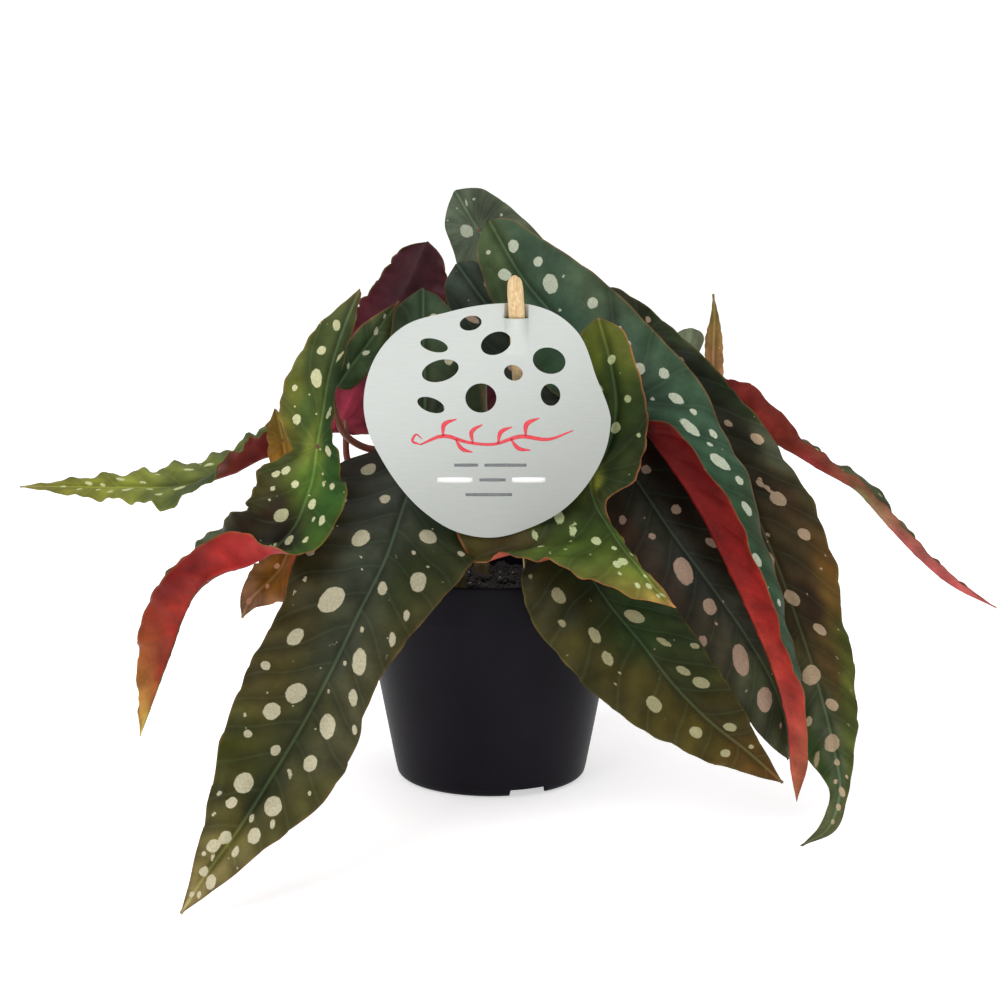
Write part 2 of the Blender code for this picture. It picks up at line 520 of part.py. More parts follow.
def build_soil():
    top_radius = pot_wall(SOIL_TOP) - POT_WALL - GAP
    outline = [(top_radius * cos(tau * k / SOIL_SIDES), top_radius * sin(tau * k / SOIL_SIDES))
               for k in range(SOIL_SIDES)]
    holes, bottoms = [], []
    for points, radius in sockets():
        z_top, z_low = SOIL_TOP, float(points[0][2]) - 4 * GAP
        reach = (radius + GAP) * 1.09 / cos(pi / SOCKET_SIDES)
        high, low = axis_at(points, z_top), np.array(points[0], float)
        step = (np.array(points[1], float) - low)
        low = low + step * ((z_low - low[2]) / step[2])
        high = low + step * ((z_top - z_low) / step[2])
        ring = [(cos(tau * k / SOCKET_SIDES), sin(tau * k / SOCKET_SIDES)) for k in range(SOCKET_SIDES)]
        holes.append([(high[0] + reach * c, high[1] + reach * s) for c, s in ring])
        bottoms.append([(low[0] + reach * c, low[1] + reach * s, z_low) for c, s in ring])
    inner = []
    for radius, count in ((12, 8), (25, 14), (38, 20), (48, 26)):
        for k in range(count):
            p = (radius * cos(tau * (k + 0.3) / count), radius * sin(tau * (k + 0.3) / count))
            if all(np.hypot(p[0] - q[0], p[1] - q[1]) > 2.0 for hole in holes for q in hole) and all(
                    np.hypot(p[0] - hole[0][0] + 4, p[1] - hole[0][1]) > 6.0 for hole in holes):
                inner.append(p)
    flat, tris = filled(outline, holes, inner)
    verts = [(x, y, SOIL_TOP - 1.0 if k < SOIL_SIDES else soil_height(x, y))
             for k, (x, y) in enumerate(flat)]
    faces = [tuple(t) for t in tris]
    first = SOIL_SIDES
    for bottom in bottoms:
        low = len(verts)
        verts += bottom
        n = len(bottom)
        for k in range(n):
            faces.append((first + (k + 1) % n, first + k, low + k, low + (k + 1) % n))
        faces.append(tuple(low + k for k in range(n)))
        first += n
    previous = 0
    chamfer = ((pot_wall(6.4) - POT_WALL - GAP, 6.4), (pot_wall(5.6) - POT_WALL - 1.6, POT_FLOOR + GAP))
    for radius, z in chamfer:
        low = len(verts)
        verts += [(radius * cos(tau * k / SOIL_SIDES), radius * sin(tau * k / SOIL_SIDES), z)
                  for k in range(SOIL_SIDES)]
        for k in range(SOIL_SIDES):
            j = (k + 1) % SOIL_SIDES
            faces.append((previous + k, previous + j, low + j, low + k))
        previous = low
    faces.append(tuple(reversed([previous + k for k in range(SOIL_SIDES)])))
    return verts, faces


def card_bend(a, b):
    """How far a point of the card is pushed back (+) or forward (-) around the slit."""
    da = (a - CARD_SLIT[0]) / CARD_SLIT_HALF_WIDTH
    away = b - CARD_SLIT[1]
    if abs(da) >= 1.0:
        return 0.0
    across = 1.0 - da * da
    if away > 0:
        return CARD_LIP_BACK * across * max(0.0, 1.0 - away / 12.0)
    return -CARD_LIP_FRONT * across * max(0.0, 1.0 + away / CARD_LIP_REACH)


def build_card():
    angles = np.array([a for a, _ in CARD_OUTLINE] + [CARD_OUTLINE[0][0] + 360.0])
    radii = np.array([[r] for _, r in CARD_OUTLINE] + [[CARD_OUTLINE[0][1]]])
    turn = np.linspace(angles[0], angles[0] + 360.0, CARD_POINTS, endpoint=False)
    reach = through(angles, radii, turn)[:, 0]
    outline = [(r * cos(radians(t)), r * sin(radians(t))) for r, t in zip(reach, turn)]
    holes = []
    for a, b, wide, high, tilt in CARD_HOLES:
        c, s = cos(radians(tilt)), sin(radians(tilt))
        ring = [(wide * cos(tau * k / CARD_HOLE_POINTS), high * sin(tau * k / CARD_HOLE_POINTS))
                for k in range(CARD_HOLE_POINTS)]
        holes.append([(a + c * x - s * y, b + s * x + c * y) for x, y in ring])
    across = [CARD_SLIT[0] + CARD_SLIT_HALF_WIDTH * s for s in np.linspace(-1.0, 1.0, 9)]
    slit = [(a, CARD_SLIT[1] - CARD_SLIT_HALF_HEIGHT) for a in across]
    holes.append(slit + [(a, CARD_SLIT[1] + CARD_SLIT_HALF_HEIGHT) for a in across[-2:0:-1]])
    inner = []
    for b in (43.4, 38.8, 36.4, 34.0, 31.2, 28.4, 26.0):
        for s in np.linspace(-1.15, 1.15, 11):
            p = (CARD_SLIT[0] + CARD_SLIT_HALF_WIDTH * s, b)
            clear = all(np.hypot(p[0] - q[0], p[1] - q[1]) > 0.9 for hole in holes for q in hole)
            in_hole = any(((p[0] - h[0]) / (h[2] + 0.5)) ** 2 + ((p[1] - h[1]) / (h[3] + 0.5)) ** 2 < 1
                          for h in CARD_HOLES)
            if clear and not in_hole:
                inner.append(p)
    flat, tris = filled(outline, holes, inner)
    verts, faces = [], []
    for side in (-0.5, 0.5):
        for a, b in flat:
            y = CARD_CENTRE[1] - CARD_LEAN * b + card_bend(a, b) + side * CARD_THICKNESS
            verts.append((CARD_CENTRE[0] + a, y, CARD_CENTRE[2] + b))
    n = len(flat)
    for a, b, c in tris:
        faces.append((a, b, c))
        faces.append((n + c, n + b, n + a))
    first = 0
    for loop in [outline] + holes:
        count = len(loop)
        for k in range(count):
            a, b = first + k, first + (k + 1) % count
            faces.append((b, a, n + a, n + b))
        first += count
    return verts, faces


def build_stick():
    foot, top = np.array(STICK_FOOT), np.array(STICK_TOP)
    reach = np.linalg.norm(top - foot)
    steps = ((0.0, 1.0), (0.5, 1.0), ((reach - 6.0) / reach, 1.0), ((reach - 2.4) / reach, 0.86),
             ((reach - 0.7) / reach, 0.62), (1.0, 0.3))
    line = [foot + (top - foot) * s for s, _ in steps]
    return tube(line, [STICK_RADIUS * r for _, r in steps], STICK_SIDES)


def build_cane(points, low, high):
    points = np.array(points, float)
    knots = chords(points)
    at = np.linspace(0.0, knots[-1], CANE_STATIONS)
    line = through(knots, points, at)
    return line, tube(line, np.linspace(low, high, CANE_STATIONS), CANE_SIDES)


def nearest_on(lines, point):
    """The closest point of any cane's centre line, with that cane's radius there."""
    best = None
    for line, low, high in lines:
        for k in range(len(line) - 1):
            run = line[k + 1] - line[k]
            t = float(np.clip(np.dot(point - line[k], run) / np.dot(run, run), 0.0, 1.0))
            spot = line[k] + t * run
            far = np.linalg.norm(point - spot)
            if best is None or far < best[0]:
                best = (far, spot, low + (high - low) * (k + t) / (len(line) - 1))
    return best[1], best[2]


def build_petiole(rows, row, via, canes):
    via = np.array(via, float)
    spot, radius = nearest_on(canes, via[0])
    out = unit(via[0] - spot)
    mids = np.array([r[0] for r in rows], float)
    along = unit(np.gradient(mids, axis=0))[row]
    low = max(row, 1)
    across = np.array(rows[low][2], float) - np.array(rows[low][1], float)
    up = unit(np.cross(along, across))
    end = mids[row] - up * (BLADE_THICKNESS / 2 + 0.9)
    start = [spot + out * (radius + away) for away in (0.8, 3.0)]
    points = np.vstack([*start, via[1:], end - up * 4.5, end])
    knots = chords(points)
    at = np.linspace(0.0, knots[-1], PETIOLE_STATIONS)
    return tube(through(knots, points, at), np.linspace(*PETIOLE_RADII, PETIOLE_STATIONS), PETIOLE_SIDES)


def main():
    for obj in list(bpy.data.objects):
        bpy.data.objects.remove(obj, do_unlink=True)

    def add(name, body, colour, roughness):
        add_object(name, scaled(body[0]), body[1], material(name, colour, roughness))

    add("pot", build_pot(), POT_BLACK, 0.45)
    add("soil", build_soil(), SOIL_BROWN, 0.95)
    add("card", build_card(), CARD_SILVER, 0.35)
    add("stick", build_stick(), WOOD_PALE, 0.6)
    canes = []
    for name, (points, low, high) in CANES.items():
        line, body = build_cane(points, low, high)
        canes.append((line, low, high))
        add(name, body, CANE_GREEN, 0.5)
    blades = dict(LEAVES)
    for name, (mids, left, right, sag) in REAR_LEAVES.items():
        blades[name] = rear_rows(mids, left, right, sag)
    for name, rows in blades.items():
        grid = leaf_surface(rows, BLADE_STATIONS, BLADE_COLUMNS, FLATTER.get(name, BELLY))
        add(name, sheet(grid, BLADE_THICKNESS), LEAF_GREEN, 0.4)
    for name, (leaf, row, via) in PETIOLES.items():
        add(name, build_petiole(blades[leaf], row, via, canes), PETIOLE_RED, 0.45)


main()
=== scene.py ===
"""Looks of the potted polka dot begonia: spotted waxy blades on red petioles, green canes, a moulded black
nursery pot with crumbly soil, and a round silver card on a wooden stick.

The frame's origin is the centre of the pot's flat base, +Z is up, and the card faces -Y. Tables are in
millimetres, and MM turns them into metres.
"""

from math import cos, pi, radians, sin, tau

import bmesh
import bpy
import numpy as np
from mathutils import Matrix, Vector
from mathutils.geometry import delaunay_2d_cdt


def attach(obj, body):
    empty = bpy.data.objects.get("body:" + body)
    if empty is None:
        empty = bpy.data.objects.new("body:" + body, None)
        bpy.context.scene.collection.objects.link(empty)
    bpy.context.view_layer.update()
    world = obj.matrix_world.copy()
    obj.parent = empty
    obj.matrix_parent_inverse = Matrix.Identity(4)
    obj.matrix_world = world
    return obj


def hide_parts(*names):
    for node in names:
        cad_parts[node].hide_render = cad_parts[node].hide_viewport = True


MM = 0.001

# Nursery pot, turned about Z.
POT_HEIGHT = 96.0
POT_TOP_RADIUS = 60.5
POT_BASE_RADIUS = 43.2
POT_TAPER_FROM = 4.4
POT_TAPER = 0.19
POT_WALL = 1.5
POT_FLOOR = 4.6
POT_BAND_HEIGHT = 19.0
POT_PAD_RADIUS = 33.0
POT_GROOVE_DEPTH = 3.0
POT_LIP_TURN = 95.2
POT_INSIDE_FOOT = 5.6
POT_SIDES = 168
FOOT_NOTCH_ANGLES = (-66.5, 53.5, 173.5)
FOOT_NOTCH_HALF_ANGLE = 12.0

SOIL_TOP = 84.5
SOIL_GAP = 0.3

# Wooden stick, leaning towards the front.
STICK_RADIUS = 3.2
STICK_FOOT = (19.0, -38.0, 70.0)
STICK_TOP = (9.7, -93.4, 226.3)

# Card: a round sheet with a wavy outline, nine oval cut-outs, and a slit that the stick is pushed through.
CARD_CENTRE = (-0.8, -86.4, 169.2)
CARD_LEAN = 0.03
CARD_THICKNESS = 0.7
CARD_POINTS = 240
CARD_OUTLINE = ((1, 49.0), (22, 46.5), (46, 50.2), (55, 50.5), (70, 49.2), (81, 47.4), (96, 46.0),
                (111, 46.2), (132, 50.4), (147, 51.4), (163, 50.8), (172, 50.0), (186, 47.8), (199, 45.4),
                (214, 44.3), (234, 44.9), (255, 46.8), (272, 47.4), (292, 46.5), (308, 46.9),
                (329, 47.4), (351, 48.7))
# Cut-outs: centre across and up from the card's centre, the two half axes, and a turn in degrees.
CARD_HOLES = ((-6.8, 39.0, 4.4, 2.9, 12), (-21.3, 30.2, 5.6, 2.6, -14), (3.2, 31.0, 6.2, 4.4, 22),
              (-18.9, 20.1, 7.5, 4.3, 16), (24.3, 24.1, 6.6, 5.2, -15), (10.1, 19.3, 3.8, 3.1, -18),
              (-2.8, 9.2, 6.2, 5.9, 0), (-22.7, 6.4, 5.7, 2.9, -20), (24.9, 10.5, 3.9, 4.5, 10))
CARD_HOLE_POINTS = 40
CARD_SLIT = (11.2, 41.2)
CARD_SLIT_HALF_WIDTH = 4.8
CARD_SLIT_HALF_HEIGHT = 0.25
CARD_LIP_BACK = 4.4
CARD_LIP_FRONT = 5.0
CARD_LIP_REACH = 14.5

# Blades and petioles. The grain is the spacing of the points over a blade.
GRAIN = 1.25
BLADE_THICKNESS = 0.9
BLADE_SKIN = 0.6
BELLY = 0.05
FLATTER = {"leaf_front_bright": 0.015}
LEAST_HALF_WIDTH = 0.6
PETIOLE_RADII = (1.9, 1.3)
VEIN_STEP = 15.0
VEIN_SLANT = 0.85
EAR_VEIN_STEP = radians(30)
PUFF_HEIGHT = 0.55
PUFF_WIDTH = 2.6
GROOVE_DEPTH = 0.55
GROOVE_WIDTH = 1.5
RIB_HEIGHT = 0.9
RIB_WIDTH = 1.3
SIDE_RIB_HEIGHT = 0.28
SIDE_RIB_WIDTH = 0.9
CLEAR_OF_DOTS = 9.0

# Leaves seen from the front and sides: rows from the ear's end to the tip, each a point on the midrib, one
# on the left margin and one on the right, in mm. Left and right are as seen on the upper, spotted face with
# the tip down. The last row is the tip alone.
LEAVES = {
    "leaf_front_left": (
        ((-29, -18, 219), (-40, -18, 214), (-18, -18, 214)),
        ((-29, -22, 197), (-44, -22, 195), (-9, -24, 195)),
        ((-28, -30, 174), (-44, -30, 173), (-3, -32, 170)),
        ((-29, -40, 158), (-37, -38, 160), (-1, -42, 152)),
        ((-31, -54, 146), (-62, -49, 149), (0, -52, 134)),
        ((-36, -74, 131), (-67, -67, 139), (-1, -68, 118)),
        ((-42, -95, 114), (-72, -86, 126), (-11, -94, 107)),
        ((-51, -112, 97), (-79, -104, 111), (-28, -114, 91)),
        ((-60, -127, 79), (-87, -120, 88), (-44, -130, 70)),
        ((-70, -143, 61), (-95, -136, 75), (-50, -146, 52)),
        ((-81, -158, 44), (-100, -152, 57), (-61, -162, 36)),
        ((-92, -172, 28), (-104, -168, 37), (-80, -176, 23)),
        ((-103, -182, 14), (-107, -180, 18), (-97, -184, 11)), ((-111, -188, 2),)),
    "leaf_left_mid": (
        ((-54, -50, 220), (-55, -50, 219), (-53, -50, 219)),
        ((-60, -62, 204), (-70, -66, 206), (-57, -58, 202)),
        ((-65, -74, 186), (-82, -80, 185), (-61, -68, 187)),
        ((-67, -82, 171), (-84, -89, 170), (-64, -76, 169)),
        ((-69, -87, 159), (-80, -91, 157), (-62, -80, 158)),
        ((-70, -92, 149), (-91, -89, 151), (-60, -84, 149)),
        ((-73, -99, 138), (-94, -95, 144), (-57, -90, 142)),
        ((-77, -105, 129), (-96, -96, 137), (-60, -100, 131)),
        ((-85, -110, 121), (-99, -93, 134), (-71, -112, 119)),
        ((-93, -111, 116), (-105, -88, 131), (-84, -118, 125)),
        ((-106, -106, 111), (-114, -81, 122), (-103, -108, 128)),
        ((-117, -98, 102), (-126, -75, 112), (-123, -98, 115)),
        ((-124, -90, 90), (-136, -69, 97), (-137, -86, 99)),
        ((-130, -82, 75), (-143, -63, 80), (-145, -75, 79)),
        ((-138, -74, 56), (-147, -61, 58), (-147, -69, 56)), ((-147, -66, 34),)),
    "leaf_left_rear": (
        ((-29, 34, 238), (-20, 34, 232), (-40, 34, 238)),
        ((-40, 28, 213), (-20, 30, 207), (-53, 26, 220)),
        ((-52, 20, 190), (-29, 22, 178), (-67, 16, 201)),
        ((-62, 8, 170), (-44, 12, 157), (-77, 4, 181)),
        ((-68, -4, 158), (-60, 1, 153), (-82, -6, 172)),
        ((-76, -12, 153), (-77, -3, 157), (-86, -17, 168)),
        ((-86, -20, 150), (-90, -3, 159), (-92, -26, 163)),
        ((-98, -27, 147), (-101, -8, 158), (-99, -34, 158)),
        ((-111, -34, 141), (-111, -14, 151), (-108, -41, 152)),
        ((-122, -38, 138), (-122, -18, 146), (-118, -52, 141)),
        ((-135, -41, 136), (-138, -22, 143), (-133, -60, 130)),
        ((-149, -42, 136), (-151, -28, 141), (-147, -57, 132)),
        ((-166, -41, 136), (-167, -32, 140), (-165, -50, 132)),
        ((-183, -40, 136), (-184, -35, 138), (-183, -45, 134)), ((-200, -40, 136),)),
    "leaf_left_inner": (
        ((-65, -35, 178), (-61, -35, 175), (-68, -35, 181)),
        ((-59, -30, 187), (-52, -29, 183), (-63, -31, 193)),
        ((-53, -24, 195), (-47, -22, 191), (-57, -26, 202)),
        ((-46, -18, 205), (-42, -16, 201), (-49, -20, 208)), ((-40, -10, 213),)),
    "leaf_left_young": (
        ((-91, -38, 169), (-94, -38, 165), (-88, -38, 165)),
        ((-88, -40, 156), (-95, -40, 156), (-81, -40, 156)),
        ((-85, -46, 135), (-92, -45, 135), (-75, -46, 135)),
        ((-84, -54, 115), (-96, -52, 117), (-74, -58, 112)),
        ((-88, -60, 104), (-98, -58, 108), (-81, -62, 92)),
        ((-95, -64, 97), (-101, -62, 102), (-89, -64, 90)),
        ((-100, -66, 92), (-104, -66, 94), (-97, -66, 89)), ((-103, -68, 85),)),
    "leaf_top_rear": (
        ((-17, 58, 261), (-24, 58, 250), (-8, 58, 264)), ((-6, 54, 243), (-18, 54, 234), (6, 54, 256)),
        ((6, 48, 226), (-12, 48, 215), (22, 48, 241)), ((20, 40, 207), (2, 40, 195), (38, 40, 220)),
        ((34, 32, 187), (18, 32, 175), (50, 32, 198)), ((50, 24, 162), (38, 24, 155), (61, 24, 174)),
        ((67, 15, 136),)),
    "leaf_right_main": (
        ((-1, -3, 248), (-7, -3, 240), (7, -4, 250)), ((14, -12, 223), (-1, -8, 215), (29, -14, 236)),
        ((30, -24, 204), (13, -18, 192), (49, -28, 222)),
        ((45, -40, 185), (30, -34, 173), (68, -42, 203)),
        ((56, -54, 171), (52, -52, 168), (84, -51, 186)),
        ((68, -71, 157), (73, -83, 166), (97, -59, 162)),
        ((85, -84, 132), (94, -98, 139), (109, -66, 135)),
        ((96, -91, 110), (105, -105, 117), (116, -72, 107)),
        ((105, -95, 91), (112, -107, 96), (122, -77, 87)),
        ((115, -96, 67), (121, -107, 72), (126, -82, 64)),
        ((121, -93, 45), (127, -101, 50), (128, -85, 42)),
        ((123, -89, 27), (129, -94, 31), (129, -85, 24)), ((126, -86, 12),)),
    "leaf_right_dark": (
        ((-15, 0, 229), (-21, 0, 222), (-9, 0, 233)), ((0, -4, 209), (-17, -4, 204), (9, -4, 218)),
        ((17, -11, 191), (0, -11, 181), (30, -11, 199)),
        ((38, -26, 169), (23, -27, 153), (45, -26, 175)),
        ((60, -51, 142), (42, -56, 129), (78, -46, 154)),
        ((76, -64, 119), (54, -70, 110), (94, -54, 129)),
        ((92, -74, 98), (72, -82, 87), (108, -62, 106)),
        ((106, -80, 78), (90, -88, 67), (117, -68, 85)),
        ((117, -83, 58), (104, -90, 48), (125, -74, 62)),
        ((122, -82, 41), (115, -86, 35), (127, -77, 43)), ((123, -80, 28),)),
    "leaf_front_low": (
        ((29, -52, 133), (22, -54, 129), (36, -50, 134)),
        ((33, -62, 124), (17, -66, 118), (45, -60, 123)),
        ((38, -77, 110), (13, -76, 108), (57, -79, 109)),
        ((48, -87, 95), (15, -86, 91), (71, -90, 99)), ((61, -94, 80), (29, -95, 73), (81, -94, 86)),
        ((73, -99, 65), (49, -99, 54), (90, -98, 73)),
        ((88, -102, 50), (73, -102, 40), (100, -101, 58)),
        ((104, -102, 37), (94, -102, 31), (108, -101, 42)), ((118, -100, 24),)),
    "leaf_right_brown": (
        ((51, 18, 217), (44, 18, 210), (54, 18, 220)), ((67, 12, 197), (51, 12, 186), (77, 12, 204)),
        ((86, 2, 171), (66, 2, 158), (103, 0, 179)),
        ((105, -12, 142), (85, -12, 127), (128, -12, 147)),
        ((120, -30, 110), (99, -28, 97), (146, -30, 112)),
        ((130, -48, 81), (111, -44, 68), (151, -48, 78)),
        ((137, -66, 56), (122, -62, 46), (153, -68, 54)),
        ((141, -82, 35), (131, -80, 29), (150, -84, 34)),
        ((142, -95, 18), (138, -93, 17), (145, -96, 17)),
        ((135, -106, 6), (132, -106, 8), (138, -107, 6)), ((124, -113, 2),)),
    "leaf_front_bright": (
        ((44, -66, 209), (35, -66, 205), (53, -67, 207)),
        ((49, -70, 190), (37, -68, 188), (58, -72, 195)),
        ((51, -74, 172), (32, -73, 168), (64, -76, 171)),
        ((47, -76, 156), (27, -74, 151), (62, -77, 153)),
        ((41, -76, 146), (16, -72, 145), (57, -78, 142)),
        ((41, -78, 140), (0, -72, 139), (49, -79, 138)),
        ((43, -81, 134), (-13, -75, 129), (47, -83, 133)),
        ((47, -89, 128), (-8, -84, 113), (51, -92, 125)),
        ((52, -100, 121), (12, -94, 116), (56, -103, 119)),
        ((58, -112, 115), (31, -110, 113), (61, -114, 113)),
        ((64, -120, 108), (48, -120, 107), (67, -122, 108)), ((71, -128, 102),)),
    "leaf_far_right": (
        ((90, 30, 172), (94, 28, 178), (95, 38, 172)),
        ((104, 25, 163), (109, 20, 177), (114, 34, 168)),
        ((118, 18, 154), (122, 12, 171), (128, 30, 161)),
        ((132, 12, 147), (137, 6, 154), (141, 24, 150)),
        ((149, 6, 137), (153, 1, 141), (156, 15, 139)), ((163, 1, 129), (167, -3, 131), (170, 8, 132)),
        ((175, -2, 116), (180, -6, 117), (182, 5, 117)),
        ((188, -5, 102), (192, -9, 104), (194, 2, 102)), ((204, -7, 88), (206, -9, 91), (208, -1, 89)),
        ((225, -10, 77),)),
    "leaf_right_tip": (
        ((104, 44, 168), (108, 44, 168), (100, 44, 168)),
        ((103, 44, 181), (108, 44, 180), (99, 44, 182)),
        ((103, 43, 195), (107, 43, 194), (99, 43, 195)),
        ((103, 42, 204), (105, 42, 204), (101, 42, 203)), ((102, 40, 214),)),
}

# Leaves at the back: midrib points, half widths on each side, and how much each half sags, all in mm.
REAR_LEAVES = {
    "leaf_rear_left": (
        ((-26, 74, 212), (-28, 86, 190), (-32, 102, 160), (-38, 122, 122), (-44, 140, 88), (-47, 152, 58)),
        (9, 19, 22, 21, 13, 0), (9, 6, 21, 20, 12, 0), 5),
    "leaf_rear_mid": (
        ((8, 88, 218), (10, 104, 196), (13, 126, 164), (15, 150, 126), (16, 172, 88), (16, 188, 52)),
        (10, 20, 24, 22, 13, 0), (9, 7, 22, 21, 12, 0), 5),
    "leaf_rear_right": (
        ((94, 62, 197), (92, 76, 174), (98, 96, 148), (106, 116, 118), (113, 130, 94), (118, 140, 72)),
        (8, 6, 18, 17, 10, 0), (8, 16, 18, 17, 10, 0), 4),
    "leaf_rear_low_left": (
        ((-14, 66, 140), (-20, 78, 124), (-26, 94, 98), (-31, 108, 70), (-35, 118, 44), (-37, 124, 22)),
        (8, 16, 19, 17, 11, 0), (8, 6, 17, 16, 10, 0), 4),
    "leaf_rear_low_right": (
        ((44, 70, 150), (48, 84, 130), (54, 100, 104), (59, 114, 76), (62, 124, 50), (63, 130, 28)),
        (8, 6, 18, 17, 11, 0), (8, 17, 19, 18, 11, 0), 4),
}

# Canes: points from inside the soil to the growing end, in mm, with the radius at each end.
CANES = {
    "cane_left": (((-13, -2, 74), (-16, 1, 100), (-21, 4, 130), (-27, 5, 160)), 3.6, 2.8),
    "cane_right": (((16, 0, 74), (19, 1, 100), (24, 2, 130), (31, 2, 166)), 3.8, 2.8),
    "cane_mid": (((-4, 22, 74), (-5, 34, 110), (-5, 50, 160), (-6, 66, 212)), 3.8, 2.8),
    "cane_rear": (((20, 24, 74), (26, 34, 105), (33, 48, 140), (39, 58, 172)), 3.5, 2.7),
}

# Petioles: the leaf, the row where it joins the blade, and the points from the cane to just under it, in mm.
PETIOLES = {
    "petiole_front_left": ("leaf_front_left", 3, ((-21, -1, 132), (-25, -18, 138), (-29, -30, 148))),
    "petiole_left_mid": ("leaf_left_mid", 4,
        ((-25, 0, 134), (-46, -22, 134), (-66, -44, 140), (-72, -62, 146), (-71, -76, 152))),
    "petiole_left_rear": ("leaf_left_rear", 4, ((-26, 3, 142), (-46, -4, 136), (-62, -12, 142))),
    "petiole_left_inner": ("leaf_left_inner", 0, ((-31, 4, 154), (-50, -10, 148), (-64, -24, 158))),
    "petiole_left_young": ("leaf_left_young", 1, ((-21, 0, 118), (-48, -12, 122), (-76, -24, 140))),
    "petiole_top_rear": ("leaf_top_rear", 1, ((-16, 72, 194), (-16, 76, 212), (-10, 72, 230))),
    "petiole_right_main": ("leaf_right_main", 4, ((34, -2, 163), (46, -14, 177), (54, -32, 179))),
    "petiole_right_dark": ("leaf_right_dark", 3, ((28, -2, 150), (32, -10, 156), (36, -20, 164))),
    "petiole_front_low": ("leaf_front_low", 1, ((22, -2, 112), (26, -24, 112), (31, -46, 116))),
    "petiole_right_brown": ("leaf_right_brown", 1, ((34, 5, 160), (46, 20, 176), (60, 24, 192))),
    "petiole_front_bright": ("leaf_front_bright", 4,
        ((22, -2, 125), (20, -28, 140), (24, -54, 146), (36, -70, 146))),
    "petiole_far_right": ("leaf_far_right", 0, ((40, 48, 150), (64, 42, 150), (82, 36, 162))),
    "petiole_right_tip": ("leaf_right_tip", 0, ((44, 58, 164), (72, 64, 160), (98, 56, 162))),
    "petiole_rear_left": ("leaf_rear_left", 1, ((-9, 54, 160), (-24, 66, 176), (-34, 76, 182))),
    "petiole_rear_mid": ("leaf_rear_mid", 1, ((-3, 64, 180), (4, 80, 188), (8, 92, 188))),
    "petiole_rear_right": ("leaf_rear_right", 1, ((43, 60, 160), (66, 70, 158), (86, 72, 164))),
    "petiole_rear_low_left": ("leaf_rear_low_left", 1, ((-8, 42, 120), (-14, 54, 122), (-18, 66, 116))),
    "petiole_rear_low_right": ("leaf_rear_low_right", 1, ((37, 48, 125), (44, 60, 126), (46, 72, 122))),
}

